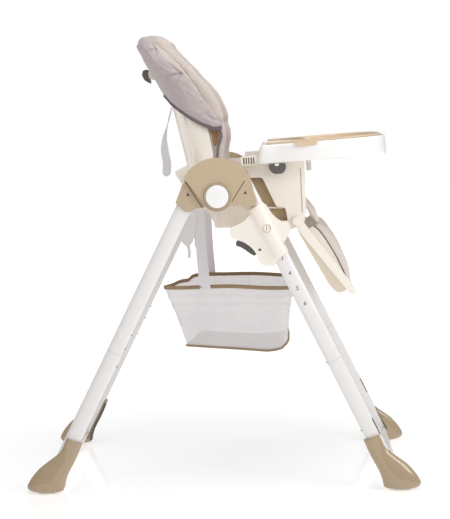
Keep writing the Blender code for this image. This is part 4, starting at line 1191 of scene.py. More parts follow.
def squeeze_lever(side):
    name = f"squeeze_lever_{side}"
    shape = [
        (-0.028, 0.000), (-0.069, 0.000), (-0.069, -0.012), (-0.062, -0.0235), (-0.040, -0.0235),
        (-0.031, -0.014)
    ]
    lever = plate(name, soften(shape, 0.006), across(side, 0.2245, 0.2300), 0.0012, DARK_PLASTIC_AND_SHADE)
    half_round = arc((-0.0485, 0.0), 0.0055, 180, 360, 12)
    badge = plate(name + "_dot", half_round, across(side, 0.2296, 0.2304), 0.0002, WHITE)
    made = in_tray_frame(join(name, lever, badge))
    return shown(made, f"tray_lever_{side}", "dark_plastic", f"tray_lever_{side}")


# ---------------------------------------------------------------- leg rest

def leg_rest_at(along, out):
    down = (-math.sin(LEG_REST_LEAN), -math.cos(LEG_REST_LEAN))
    away = (-math.cos(LEG_REST_LEAN), math.sin(LEG_REST_LEAN))
    return tuple(LEG_REST_PIVOT[axis] + down[axis] * along + away[axis] * out for axis in (0, 1))


LEG_REST_RIM = [
    (0.0340, 0.0220), (0.0500, 0.0260), (0.0800, 0.0250), (0.1200, 0.0200), (0.1570, 0.0120),
    (0.1900, 0.0040)
]


def leg_rest():
    """Two side bars, the back panel and the footstep."""
    bar = [leg_rest_at(-0.0110, -0.0060), leg_rest_at(-0.0110, 0.0060), leg_rest_at(-0.0050, 0.0110)]
    bar += [leg_rest_at(LEG_REST_LENGTH - 0.006, 0.0100), leg_rest_at(LEG_REST_LENGTH, 0.0040)]
    bar += [leg_rest_at(LEG_REST_LENGTH, -0.0080), leg_rest_at(-0.0050, -0.0110)]
    parts = [
        plate(f"leg_bar_{side}", soften(bar, 0.004), across(side, 0.2064, 0.2147), 0.0022, CREAM, both=True)
        for side in SIDES
    ]
    panel = [leg_rest_at(0.040, -0.0090), leg_rest_at(0.040, -0.0050), leg_rest_at(0.205, -0.0050)]
    panel += [leg_rest_at(0.205, 0.0060), leg_rest_at(0.2095, 0.0060), leg_rest_at(0.2095, -0.0090)]
    parts.append(plate("leg_panel", panel, (-0.2075, 0.2075), 0.0008, CREAM, both=True))
    for index, along in enumerate((0.070, 0.105, 0.140, 0.175)):
        rib = [leg_rest_at(along, -0.0125), leg_rest_at(along, -0.0085), leg_rest_at(along + 0.004, -0.0085)]
        rib.append(leg_rest_at(along + 0.004, -0.0125))
        parts.append(plate(f"leg_rib_{index}", rib, (-0.1900, 0.1900), 0.0006, CREAM, both=True))
    for side in SIDES:
        web = [leg_rest_at(0.008, -0.0060), leg_rest_at(0.020, -0.0130), leg_rest_at(0.164, -0.0340)]
        web += [leg_rest_at(0.188, -0.0330), leg_rest_at(0.198, -0.0240), leg_rest_at(0.200, -0.0060)]
        parts.append(plate(
            f"leg_web_{side}", soften(web, 0.006), across(side, 0.1900, 0.1940), 0.0012, LEG_WEB, both=True
        ))
        rim = [leg_rest_at(along, out) for along, out in LEG_REST_RIM]
        flange = [leg_rest_at(0.0340, -0.0050), *rim, leg_rest_at(0.1960, -0.0050)]
        parts.append(
            plate(f"leg_flange_{side}", flange, across(side, 0.1885, 0.1905), 0.0006, CREAM, both=True)
        )
    made = join("leg_rest_moulding", *parts)
    return shown(made, "leg_rest", "cream_plastic", "leg_rest_frame")


def build_hard_seat():
    seat()
    tray_body()
    tray_top()
    leg_rest()
    for side in SIDES:
        squeeze_lever(side)


# ---------------------------------------------------------------- backrest shell

BACK_SPINE = [(0.715, 0.0665), (0.757, 0.0760), (0.890, 0.1080), (0.930, 0.1290), (1.036, 0.1900)]
BACK_WING = [(0.715, 0.060), (0.780, 0.070), (0.930, 0.076), (0.990, 0.066), (1.020, 0.052), (1.036, 0.034)]
BACK_HALF = [
    (0.715, 0.192), (0.760, 0.188), (0.800, 0.176), (0.900, 0.166), (0.960, 0.158), (1.000, 0.142),
    (1.036, 0.104),
]
COVER_REACH = [
    (0.715, 0.088), (0.781, 0.103), (0.815, 0.118), (0.866, 0.123), (0.930, 0.122), (0.990, 0.108),
    (1.026, 0.092), (1.036, 0.084),
]
# Where the hood is sewn to the pad, as (z, y) down the side.
SEAM = [
    (0.730, 0.004), (0.8200, -0.0060), (0.8502, -0.0110), (0.8597, -0.0016), (0.8784, 0.0120),
    (0.8995, 0.0255),
    (0.9183, 0.0414), (0.9464, 0.0640), (0.9676, 0.0844), (0.9982, 0.1162), (1.0264, 0.1457),
    (1.0400, 0.1600),
]
# The hood's lower hem, as (y, z) from its front corner back.
HEM = [
    (-0.0120, 0.8440), (0.0012, 0.8389), (0.0128, 0.8414), (0.0382, 0.8512), (0.0635, 0.8656),
    (0.1069, 0.8988),
    (0.1216, 0.9176), (0.1400, 0.9250),
]
# The bound rear edge of the pad's wings below the hood, as (z, y).
WING_EDGE = [
    (0.7200, 0.0010), (0.7600, 0.0030), (0.7925, 0.0010), (0.8080, -0.0040), (0.8225, -0.0088),
    (0.8360, -0.0030), (0.8460, 0.0010),
]
CURL = 2 / 3.2


def eased(value, table, reach=0.010):
    return (between(value - reach, table) + 2 * between(value, table) + between(value + reach, table)) / 4


def back_point(turn, z, forward=0.0):
    """A point of the backrest's middle surface: turn runs from -1 at the right wing to 1 at the left."""
    angle = turn * math.pi / 2
    half = eased(z, BACK_HALF)
    depth = eased(z, BACK_WING)
    sine = math.sin(angle)
    x = signed_power(sine, CURL) * (half - forward)
    bend = 1 - max(math.cos(angle), 0.0) ** CURL if abs(turn) < 1 else 1
    return Vector((x, eased(z, BACK_SPINE) - forward - (depth - forward) * bend, z))


def backrest_shell():
    """The curved moulded shell with a rolled flange along its edges and ribs down its back."""
    rings = []
    for row in range(49):
        z = 0.690 + (1.036 - 0.690) * row / 48
        turns = [math.sin(math.pi / 2 * (step / 30 - 1)) for step in range(61)]
        back, front = [], []
        for turn in turns:
            outside = back_point(turn, z, -0.0018)
            inside = back_point(turn, z, 0.0018)
            back.append(outside)
            front.append(inside)
        rings.append(back + front[::-1])
    shell = skin("backrest_shell_body", rings, CREAM, angle=55)
    parts = [shell]
    for side in SIDES:
        run = []
        for row in range(31):
            z = 0.700 + (0.930 - 0.700) * row / 30
            point = back_point(0.66 * SIDES[side], z, -0.0030)
            run.append(point)
        parts.append(tube(f"shell_fold_{side}", run, 0.0022, CREAM, sides=10))
    for index, turn in enumerate((-0.20, 0.20)):
        run = [back_point(turn, 0.700 + 0.210 * row / 20, -0.0030) for row in range(21)]
        parts.append(tube(f"shell_rib_{index}", run, 0.0026, CREAM, sides=10))
    bracket = [(0.1500, 0.9560), (0.1600, 0.9560), (0.1790, 0.9640), (0.1850, 0.9760), (0.1620, 0.9760)]
    parts.append(plate("handle_bracket", soften(bracket, 0.003), (-0.030, 0.030), 0.0015, CREAM, both=True))
    hub = join("backrest_moulding", *parts)
    return shown(hub, "backrest", "cream_plastic", "backrest_shell")


# ---------------------------------------------------------------- padded pieces

def even(points, count):
    """The same run of points, spaced evenly by length."""
    run = np.array([tuple(point) for point in points], float)
    steps = np.linalg.norm(np.diff(run, axis=0), axis=1)
    along = np.concatenate([[0], np.cumsum(steps)])
    wanted = np.linspace(0, along[-1], count)
    return [tuple(np.interp(place, along, run[:, axis]) for axis in range(run.shape[1])) for place in wanted]


def evaluated_mesh(obj):
    bpy.context.view_layer.update()
    graph = bpy.context.evaluated_depsgraph_get()
    return bpy.data.meshes.new_from_object(obj.evaluated_get(graph))


def fixed(obj):
    """Applies every modifier on the object."""
    mesh = evaluated_mesh(obj)
    obj.modifiers.clear()
    obj.data = mesh
    return obj


def places_of(mesh):
    flat = np.zeros(len(mesh.vertices) * 3)
    mesh.vertices.foreach_get("co", flat)
    return flat.reshape(-1, 3)


def stuff(obj, held, limit, voxel=0.006, pressure=4.0):
    """Fills a sewn shape: even mesh, then cloth under pressure, with each point's movement limited.

    held(point) is 1 where the cloth is held still and 0 where it is free.
    """
    even_out = obj.modifiers.new("even_mesh", "REMESH")
    even_out.mode = "VOXEL"
    even_out.voxel_size = voxel
    fixed(obj)
    rest = places_of(obj.data)
    weights = np.array([held(Vector(point)) for point in rest])
    group = obj.vertex_groups.new(name="held")
    for index, weight in enumerate(weights):
        if weight > 0:
            group.add([index], float(weight), "REPLACE")
    cloth = obj.modifiers.new("stuffing", "CLOTH")
    cloth.settings.quality = 5
    cloth.settings.mass = 0.25
    cloth.settings.tension_stiffness = 12
    cloth.settings.compression_stiffness = 12
    cloth.settings.shear_stiffness = 6
    cloth.settings.bending_stiffness = 0.6
    cloth.settings.use_pressure = True
    cloth.settings.uniform_pressure_force = pressure
    cloth.settings.vertex_group_mass = "held"
    cloth.settings.effector_weights.gravity = 0
    cloth.collision_settings.use_collision = False
    for number in range(1, 21):
        SCENE.frame_set(number)
    moved = places_of(evaluated_mesh(obj)) - rest
    obj.modifiers.clear()
    SCENE.frame_set(1)
    size = np.linalg.norm(moved, axis=1, keepdims=True)
    moved *= np.minimum(1.0, limit / np.maximum(size, 1e-9))
    moved *= (1 - weights)[:, None]
    obj.data.vertices.foreach_set("co", (rest + moved).ravel())
    obj.data.update()
    return obj


def shaped(obj, offset):
    """Moves each point along its normal by offset(point, normal)."""
    obj.data.update()
    moves = [(vertex, vertex.normal * offset(vertex.co, vertex.normal)) for vertex in obj.data.vertices]
    for vertex, move in moves:
        vertex.co = vertex.co + move
    obj.data.update()
    return obj


def relaxed(obj, times=2):
    """Evens the surface out and halves its mesh spacing."""
    smooth = obj.modifiers.new("relax", "SMOOTH")
    smooth.factor = 0.5
    smooth.iterations = times
    finer = obj.modifiers.new("finer", "SUBSURF")
    finer.levels = 1
    finer.render_levels = 1
    fixed(obj)
    obj.data.shade_smooth()
    return obj


def near_line(point, start, end):
    """Distance from a (y, z) point to a line piece, and how far along it that is, from 0 to 1."""
    start, end, point = Vector(start), Vector(end), Vector(point)
    run = end - start
    share = min(max((point - start).dot(run) / run.length_squared, 0.0), 1.0)
    return (point - (start + run * share)).length, share


# Tucks in the hood where the seam pulls it in: line in side view, depth and width.
TUCKS = [
    ((0.0844, 0.9676), (0.1180, 0.9600), 0.0085, 0.0028),
    ((0.0844, 0.9676), (0.1050, 0.9820), 0.0060, 0.0026),
    ((0.0844, 0.9676), (0.0950, 0.9400), 0.0050, 0.0030),
    ((0.1457, 1.0264), (0.1640, 1.0200), 0.0075, 0.0026),
    ((0.1457, 1.0264), (0.1560, 1.0440), 0.0060, 0.0026),
    ((0.1457, 1.0264), (0.1420, 1.0080), 0.0045, 0.0026),
    ((-0.0110, 0.8502), (0.0250, 0.8680), 0.0080, 0.0032),
    ((-0.0016, 0.8597), (0.0060, 0.8850), 0.0070, 0.0028),
    ((0.0120, 0.8800), (0.0400, 0.8640), 0.0045, 0.0030),
    ((0.0255, 0.8995), (0.0600, 0.8900), 0.0030, 0.0050),
    ((0.0640, 0.9464), (0.0950, 0.9250), 0.0030, 0.0050),
    ((0.1180, 0.9560), (0.1080, 0.9150), 0.0020, 0.0060),
]


def tuck_depth(y, z):
    depth = 0.0
    for start, end, deep, wide in TUCKS:
        away, share = near_line((y, z), start, end)
        depth += deep * math.exp(-((away / wide) ** 2)) * (1 - 0.85 * share)
    return depth


def hood_folds(y, z):
    """Fine slack folds of the hood's side, which run along its hem and turn up towards the seam."""
    along = 0.80 * y + 0.60 * z
    across_fold = -0.60 * y + 0.80 * z
    bend = 0.35 * noise.noise(Vector((along * 9.0, across_fold * 9.0, 4.0)))
    ridge = 1 - abs(noise.noise(Vector((along * 13.0, across_fold * 52.0 + bend, 2.0)))) * 2
    return 0.0019 * (max(ridge, 0.0) ** 3 - 0.35)


def crumple(point, size, scale):
    return size * noise.fractal(Vector(point) * scale, 1.0, 2.0, 3)


def pad_ring(z):
    """One level of the pad: against the shell, round the wing's front edge and over the inner face."""
    half = eased(z, BACK_HALF)
    spine = eased(z, BACK_SPINE)
    edge = spine - eased(z, BACK_WING)
    front = spine - eased(z, COVER_REACH) + 0.0065
    seam = between(z, SEAM)
    tip = 0.0150
    outer = half + 0.0040
    run = [tuple(back_point(turn, z, 0.0048))[:2] for turn in np.linspace(0, 0.93, 22)]
    run.append((half - 0.0040, edge - 0.0035))
    bound = between(z, WING_EDGE)
    start = edge - 0.0050 if z > 0.846 else bound
    if z <= 0.846:
        run.append((half - 0.0160, edge - 0.0060))
        run.append((half - 0.0160, bound + 0.0040))
    end = front + tip
    for step in range(7):
        y = start + (end - start) * step / 6
        run.append((half + 0.0022 + 0.0018 * smooth_step(seam - y, -0.002, 0.006), y))
    for step in range(1, 13):
        angle = math.pi * step / 12
        run.append((outer - tip + tip * math.cos(angle), front + tip - tip * math.sin(angle)))
    for turn in np.linspace(0.66, 0, 14):
        thick = 0.0260
        share = 1 - math.cos(turn * math.pi / 2) ** CURL
        full = 1 - math.cos(0.88 * math.pi / 2) ** CURL
        y = spine - thick - (eased(z, COVER_REACH) - thick) * share / full
        run.append((back_point(turn, z, thick).x, y))
    run = even(run, 90)
    ring = [(x, y, z) for x, y in run] + [(-x, y, z) for x, y in reversed(run[1:-1])]
    return ring


def backrest_pad():
    """The cushion inside the shell, whose wings swell round the shell's front edges."""
    rings = [pad_ring(0.7205 + (1.036 - 0.7205) * row / 30) for row in range(31)]
    top = rings[-1]
    for step in range(1, 6):
        rise = step / 5.4
        scale = math.sqrt(1 - rise**2)
        rings.append([
            (x * (0.35 + 0.65 * scale), 0.164 + (y - 0.164) * scale, 1.036 + 0.0275 * rise) for x, y, _ in top
        ])
    pad = skin("backrest_pad", rings, COVER_FRONT, angle=80)

    def held(point):
        z = min(max(point.z, 0.70), 1.036)
        away = abs(point.x) / (eased(z, BACK_HALF) - 0.0048)
        turn = math.asin(min(away, 1.0) ** (1 / CURL)) * 2 / math.pi
        close = abs((back_point(turn, z, 0.0048).y) - point.y)
        behind = 1 - smooth_step(close, 0.004, 0.012)
        side = smooth_step(abs(point.x) - eased(z, BACK_HALF), -0.012, -0.002)
        edge = eased(z, BACK_SPINE) - eased(z, BACK_WING)
        side *= smooth_step(point.y, edge - 0.020, edge - 0.006)
        return max(behind, side) if point.z < 1.040 else 0.5

    stuff(pad, held, 0.0045)

    def sewing(point, normal):
        move = crumple(point, 0.0009, 34)
        z = point.z
        edge = eased(min(z, 1.036), BACK_SPINE) - eased(min(z, 1.036), BACK_WING)
        if point.y > edge - 0.002 and abs(point.x) > 0.10:
            return 0.0
        if abs(normal.x) > 0.5 or abs(point.x) > eased(min(z, 1.036), BACK_HALF) - 0.030:
            seam = between(z, SEAM)
            pull = sum(math.exp(-(((z - tuck) / 0.007) ** 2)) for tuck in (0.8502, 0.9676, 1.0264))
            shallow = sum(math.exp(-(((z - tuck) / 0.010) ** 2)) for tuck in (0.8950, 0.9350, 0.9960))
            near = math.exp(-(((point.y - seam) / 0.022) ** 2))
            return move - (0.0045 * pull + 0.0012 * shallow) * near
        if normal.y < -0.3:
            for line in (0.800, 0.880, 0.955):
                move -= 0.0040 * math.exp(-(((z - line) / 0.0045) ** 2)) * (
                    1 - smooth_step(abs(point.x), 0.09, 0.12)
                )
            across_line = abs(abs(point.x) - 0.105)
            move -= 0.0035 * math.exp(-((across_line / 0.004) ** 2))
        return move

    shaped(pad, sewing)
    relaxed(pad)
    return shown(pad, "backrest", "taupe_fabric", "backrest_cover")


def hood_contour(z, offset, count):
    """The hood's line in plan at one height, from the right seam round the back to the left seam."""
    seam = between(z, SEAM)
    level = min(z, 1.036)
    dense = [back_point(turn, level, -offset) for turn in np.sin(np.linspace(-1, 1, 121) * math.pi / 2)]
    run = [(point.x, point.y) for point in dense]
    front = min(seam, run[0][1] - 0.0080)
    reach = [run[0][1] + (front - run[0][1]) * step / 6 for step in range(6, 0, -1)]
    side = run[-1][0]
    run = [(-side, y) for y in reach] + run + [(side, y) for y in reversed(reach)]
    return even(run, count)


def backrest_hood():
    """The side and back of the cover: a thin padded cloth sewn to the pad and hemmed below."""
    columns, rows = 261, 76
    outer, inner = [], []
    low_edge = []
    for column in range(columns):
        z_low = 0.90
        for _ in range(4):
            y = hood_contour(z_low, 0.0060, columns)[column][1]
            z_low = eased(y, HEM, 0.006)
        low_edge.append(z_low)
    levels = {}
    for column in range(columns):
        far, close = [], []
        share_across = column / (columns - 1)
        crown_across = min(1.0, min(share_across, 1 - share_across) / 0.05)
        for row in range(rows + 1):
            v = row / rows
            z = low_edge[column] + (1.0360 - low_edge[column]) * v
            key = round(z, 4)
            if key not in levels:
                levels[key] = (hood_contour(z, 0.0060, columns), hood_contour(z, 0.0040, columns))
            x, y = levels[key][0][column]
            x_in, y_in = levels[key][1][column]
            way = Vector((x - x_in, y - y_in))
            if way.length < 1e-6:
                way = Vector((x, 0.0))
            way.normalize()
            crown = math.sqrt(max(0.0, 1 - (1 - crown_across) ** 2)) * min(1.0, (v + 0.02) / 0.10) ** 0.5
            lift = 0.0005 + 0.0042 * crown - tuck_depth(y, z) * (0.5 + 0.5 * crown)
            seam_gap = (y - between(z, SEAM)) / 0.0035
            lift -= 0.0014 * math.exp(-seam_gap * seam_gap)
            lift += crumple((x, y, z), 0.0026, 15) + hood_folds(y, z) * smooth_step(abs(x), 0.08, 0.15)
            lift = max(lift, -0.0016)
            far.append((x + way.x * lift, y + way.y * lift, z))
            close.append((x - way.x * 0.0030, y - way.y * 0.0030, z))
        x, y = levels[round(1.036, 4)][0][column]
        for rise, shrink in ((0.0060, 1.0), (0.0125, 0.965), (0.0180, 0.90), (0.0215, 0.80)):
            far.append((x * shrink, 0.150 + (y - 0.150) * shrink, 1.0360 + rise))
            close.append((x * (shrink - 0.03), 0.150 + (y - 0.150) * (shrink - 0.03), 1.0360 + rise - 0.0022))
        outer.append(far)
        inner.append(close)
    rings = [far + close[::-1] for far, close in zip(outer, inner)]
    hood = skin("backrest_hood", rings, COVER_SIDE, angle=80)
    hood.data.shade_smooth()
    hood.data.materials.append(COVER_FRONT)
    for face in hood.data.polygons:
        if face.center.z < 1.036 and face.center.y < between(face.center.z, SEAM):
            face.material_index = 1
    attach(hood, "backrest")
    hem = [Vector(far[0]) for far in outer]
    ways = [(Vector(far[0]) - Vector((0, 0.02, far[0][2]))).normalized() for far in outer]
    for index, drop in enumerate((0.0, -0.0042)):
        path = [point + Vector((0, 0, drop)) + way * 0.0002 for point, way in zip(hem, ways)]
        band = tube(f"hood_binding_{index}", path, 0.0024, BINDING_MAUVE, 0.75, ways, 10)
        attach(band, "backrest")
    return hood


def pad_piping():
    """The bound rear edge of the pad's wings, below the hood, with a brown strip inside it that paints the shadow in
    the gap.
    """
    for side in SIDES:
        run = [
            (SIDES[side] * (eased(z, BACK_HALF) + 0.0030), eased(z, WING_EDGE, 0.004) - 0.0005, z)
            for z in np.linspace(0.846, 0.726, 40)
        ]
        band = tube(f"pad_binding_{side}", run, 0.0026, BINDING_MAUVE, sides=10)
        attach(band, "backrest")
        # Painted shadow: a brown strip set in from the binding, in the gap between wing and shell.
        rings = []
        for z in np.linspace(0.7260, 0.8440, 14):
            x = eased(z, BACK_HALF) - 0.0085
            rear = eased(z, BACK_SPINE) - eased(z, BACK_WING) + 0.0020
            fore = eased(z, WING_EDGE, 0.004) + 0.0005
            rings.append([
                (SIDES[side] * (x + t), y, z)
                for t, y in ((0, rear), (0, fore), (-0.0015, fore), (-0.0015, rear))
            ])
        gap_shadow = skin(f"wing_lining_{side}", rings, SHADOW_BROWN)
        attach(gap_shadow, "backrest")


def box_rings(low, high, radius, count=10):
    """Closed levels of a soft-cornered block, from its underside to its top."""
    rings = []
    for share in (0.0, 0.12, 0.5, 0.88, 1.0):
        z = low[2] + (high[2] - low[2]) * share
        inset = 0.35 * radius if share in (0.0, 1.0) else 0.0
        ring = []
        for corner_x, corner_y, start in ((1, 1, 0), (-1, 1, 90), (-1, -1, 180), (1, -1, 270)):
            cx = (high[0] if corner_x > 0 else low[0]) - corner_x * radius
            cy = (high[1] if corner_y > 0 else low[1]) - corner_y * radius
            for step in range(count + 1):
                angle = math.radians(start + 90 * step / count)
                ring.append(
                    (cx + (radius - inset) * math.cos(angle), cy + (radius - inset) * math.sin(angle), z)
                )
        rings.append(ring)
    return rings


def seat_cushion():
    """The seat pad: two panels sewn round a piped edge, with three quilting lines."""
    cushion = skin(
        "seat_cushion", box_rings((-0.184, -0.192, 0.6560), (0.184, 0.010, 0.6790), 0.022), COVER_FRONT,
        angle=80
    )
    stuff(cushion, lambda point: 1 - smooth_step(point.z, 0.657, 0.664), 0.0055)

    def sewing(point, normal):
        move = crumple(point, 0.0008, 30)
        if normal.z > 0.3:
            for line in (-0.130, -0.070, -0.010):
                move -= 0.0035 * math.exp(-(((point.y - line) / 0.0045) ** 2)) * (
                    1 - smooth_step(abs(point.x), 0.14, 0.165)
                )
        return move

    shaped(cushion, sewing)
    relaxed(cushion)
    shown(cushion, "seat_unit", "taupe_fabric", "seat_pad")
    edge = []
    for corner_x, corner_y, start in ((1, 1, 0), (-1, 1, 90), (-1, -1, 180), (1, -1, 270)):
        cx = corner_x * 0.184 - corner_x * 0.022
        cy = (0.010 if corner_y > 0 else -0.192) - corner_y * 0.022
        edge += [
            (
                cx + 0.0222 * math.cos(math.radians(start + 9 * step)),
                cy + 0.0222 * math.sin(math.radians(start + 9 * step)),
                0.6670,
            )
            for step in range(11)
        ]
    piping = tube("seat_cushion_piping", edge, 0.0022, BINDING_MAUVE, sides=8, closed=True)
    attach(piping, "seat_unit")


LEG_PAD_EDGE = [
    (0.0330, -0.0020), (0.0330, 0.0330), (0.0420, 0.0385), (0.0692, 0.0395), (0.0950, 0.0375),
    (0.1198, 0.0345),
    (0.1400, 0.0305), (0.1574, 0.0245), (0.1760, 0.0175), (0.1900, 0.0110), (0.1960, 0.0070),
    (0.1960, -0.0020),
]


def cushion_bridge():
    """The cover's roll over the seat's front edge, between the seat pad and the calf pad."""
    outline = [(-0.1880, 0.6740), (-0.2030, 0.6620), (-0.2190, 0.6430), (-0.2340, 0.6220)]
    outline += [(-0.2270, 0.6110), (-0.2130, 0.6300), (-0.2040, 0.6480), (-0.1880, 0.6590)]
    outline = soften(outline, 0.006)
    rings = []
    for x in np.linspace(-0.183, 0.183, 40):
        edge = 1 - 0.35 * smooth_step(abs(x), 0.172, 0.183)
        rings.append([(x, -0.2150 + (y + 0.2150) * edge, 0.6450 + (z - 0.6450) * edge) for y, z in outline])
    roll = skin("cushion_bridge", rings, LEG_CLOTH, angle=80)
    shaped(roll, lambda point, normal: crumple(point, 0.0010, 30))
    relaxed(roll, 1)
    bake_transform(roll)


def leg_cushion():
    """The calf pad, convex towards the child's legs, with bound side edges."""
    middle = [0.5 * (LEG_PAD_EDGE[0][axis] + LEG_PAD_EDGE[-2][axis]) for axis in (0, 1)]
    rings = []
    for x in np.linspace(-0.1830, 0.1830, 30):
        round_off = 1 - 0.10 * smooth_step(abs(x), 0.174, 0.1830)
        ring = []
        for along, out in LEG_PAD_EDGE:
            spot = leg_rest_at(
                middle[0] + (along - middle[0]) * round_off, out if out < 0 else out * round_off
            )
            ring.append((x, *spot))
        rings.append(ring)
    cushion = skin("leg_cushion", rings, LEG_CLOTH, angle=80)

    def out_of(point):
        away = (-math.cos(LEG_REST_LEAN), math.sin(LEG_REST_LEAN))
        return (point.y - LEG_REST_PIVOT[0]) * away[0] + (point.z - LEG_REST_PIVOT[1]) * away[1]

    stuff(cushion, lambda point: 1 - smooth_step(out_of(point), -0.001, 0.008), 0.0050)

    def sewing(point, normal):
        move = crumple(point, 0.0009, 30)
        if out_of(point) > 0.015 and abs(normal.x) < 0.6:
            move -= 0.0030 * math.exp(-(((abs(point.x) - 0.150) / 0.004) ** 2))
            down = (-math.sin(LEG_REST_LEAN), -math.cos(LEG_REST_LEAN))
            along = (point.y - LEG_REST_PIVOT[0]) * down[0] + (point.z - LEG_REST_PIVOT[1]) * down[1]
            for line in (0.090, 0.140):
                move -= 0.0030 * math.exp(-(((along - line) / 0.0045) ** 2)) * (
                    1 - smooth_step(abs(point.x), 0.13, 0.15)
                )
        return move

    shaped(cushion, sewing)
    relaxed(cushion)
    shown(cushion, "leg_rest", "taupe_fabric", "leg_pad")
    for side in SIDES:
        edge = [
            (SIDES[side] * 0.1902, *leg_rest_at(along, out + 0.0008)) for along,
            out in through(LEG_REST_RIM, 40)
        ]
        band = tube(f"leg_cushion_binding_{side}", edge, 0.0015, BINDING_MAUVE, sides=8)
        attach(band, "leg_rest")


# ---------------------------------------------------------------- webbing

def webbing(name, path, widths, ways, thick, body, material=WEBBING, *replaced):
    """A flat strap along a path; ways gives the width's direction at each point."""
    points = [Vector(point) for point in path]
    rings = []
    for index, point in enumerate(points):
        run = points[min(index + 1, len(points) - 1)] - points[max(index - 1, 0)]
        run.normalize()
        wide = Vector(ways[index])
        wide = (wide - run * wide.dot(run)).normalized()
        face = run.cross(wide)
        width = widths[index]
        ring = []
        profile = (
            (-1, 0), (-0.96, 0.9), (-0.86, 1.0), (-0.80, 0.72), (0, 0.80), (0.80, 0.72), (0.86, 1.0),
            (0.96, 0.9), (1, 0)
        )
        for across_, up in profile:
            ring.append(point + wide * (width / 2 * across_) + face * (thick / 2 * up))
        for across_, up in profile[-2:0:-1]:
            ring.append(point + wide * (width / 2 * across_) - face * (thick / 2 * up))
        rings.append(ring)
    strap = skin(name, rings, material, angle=70)
    return shown(strap, body, "white_webbing", *replaced)


def harness():
    for side in SIDES:
        sign = SIDES[side]
        path, ways = [], []
        for step in range(37):
            z = 0.900 - 0.155 * step / 36
            sway = 0.0010 * math.sin(step * 0.55)
            path.append((
                sign * (0.0545 + 0.0015 * math.sin(step * 0.3)), eased(z, BACK_SPINE) - 0.0362 - 0.0016 + sway, z
            ))
            ways.append((1, 0.03 * math.sin(step * 0.4), 0))
        webbing(
            f"shoulder_webbing_{side}", path, [0.025] * 37, ways, 0.0018, "backrest", WEBBING,
            f"shoulder_strap_{side}"
        )
        path, ways = [], []
        for step in range(31):
            share = step / 30
            path.append((
                sign * (0.026 + 0.134 * share),
                -0.0608 + 0.0012 * math.sin(share * 7),
                0.7125 + 0.002 * math.sin(share * 5),
            ))
            ways.append((0, 0.05 * math.sin(share * 6), 1))
        webbing(
            f"waist_webbing_{side}", path, [0.025] * 31, ways, 0.0018, "seat_unit", WEBBING,
            f"waist_strap_{side}"
        )
    path = [(0, -0.0652, 0.6860 + 0.0100 * step / 8) for step in range(9)]
    webbing(
        "crotch_webbing", path, [0.025] * 9, [(1, 0, 0)] * 9, 0.0020, "seat_unit", WEBBING, "crotch_strap"
    )
    shell = soften([(-0.0700, 0.6975), (-0.0560, 0.6975), (-0.0565, 0.7370), (-0.0690, 0.7370)], 0.004)
    halves = [plate("buckle_body", shell, (-0.0235, 0.0235), 0.0040, DARK_PLASTIC_AND_SHADE, both=True)]
    button_rings = []
    for y, radius in ((-0.0695, 0.0095), (-0.0705, 0.0092), (-0.0709, 0.0080), (-0.0710, 0.0040)):
        button_rings.append([
            (radius * math.cos(a), y, 0.7175 + radius * math.sin(a))
            for a in np.linspace(0, 2 * math.pi, 40, endpoint=False)
        ])
    halves.append(skin("buckle_release", button_rings, BEIGE, angle=50))
    shown(join("buckle", *halves), "seat_unit", "dark_plastic", "harness_buckle")
    run = through([
        (0.1190, 0.8880), (0.1275, 0.8560), (0.1370, 0.8180), (0.1385, 0.7860), (0.1335, 0.7500), (0.1365, 0.7210)
    ], 40)
    path, ways, widths = [], [], []
    for index, (y, z) in enumerate(run):
        turn = smooth_step(index / 39, 0.15, 0.75) * 1.25
        path.append((0.001 * math.sin(index * 0.3), y, z))
        ways.append((math.cos(turn), math.sin(turn), 0))
        tip = min(1.0, (39 - index) / 3.0)
        widths.append(0.022 * math.sqrt(max(0.06, 1 - (1 - tip) ** 2)))
    webbing("strap_tail", path, widths, ways, 0.0020, "backrest", WEBBING, "harness_strap_tail")


# ---------------------------------------------------------------- basket

BASKET_RIM = 0.462

# Plan sizes of the basket at its floor and at its rim: half width, front and rear.
FLOOR_PLAN = (0.1195, -0.1560, 0.0880)
RIM_PLAN = (0.1460, -0.1700, 0.1380)


# The basket's lower edge sags between its corners, as (y, height).
BASKET_SAG = [
    (-0.1700, 0.3480), (-0.1560, 0.3260), (-0.1430, 0.3090), (-0.1100, 0.3040), (-0.0435, 0.3100),
    (0.0400, 0.3165), (0.1000, 0.3215),
]


def basket_level(share, count=84):
    """One closed level of the basket in plan, from the floor at 0 to the rim at 1; its rear hangs slack."""
    flare = share**0.8
    half = FLOOR_PLAN[0] + (RIM_PLAN[0] - FLOOR_PLAN[0]) * flare
    front = FLOOR_PLAN[1] + (RIM_PLAN[1] - FLOOR_PLAN[1]) * flare
    rear = FLOOR_PLAN[2] + (RIM_PLAN[2] - FLOOR_PLAN[2]) * share
    slack = 0.018 + 0.034 * share
    run = [
        (half, 0.0), (half, front + 0.018), (half - 0.005, front + 0.005), (half - 0.018, front),
        (0, front)
    ]
    run += [(-half + 0.018, front), (-half + 0.005, front + 0.005), (-half, front + 0.018), (-half, 0.0)]
    corner = [(-half, rear - 0.014), (-half + 0.003, rear - 0.004), (-half + 0.012, rear - 0.003)]
    back = [
        (0.0, rear - slack * 0.85), (half * 0.55, rear - slack * 1.05), (half * 0.88, rear - slack * 1.5),
        (half, rear - slack * 2.2)
    ]
    run += [tuple(point) for point in through([(-half, 0.03), *corner, *back, (half, 0.0)], 60)[1:-1]]
    return even(run + run[:1], count + 1)[:-1]


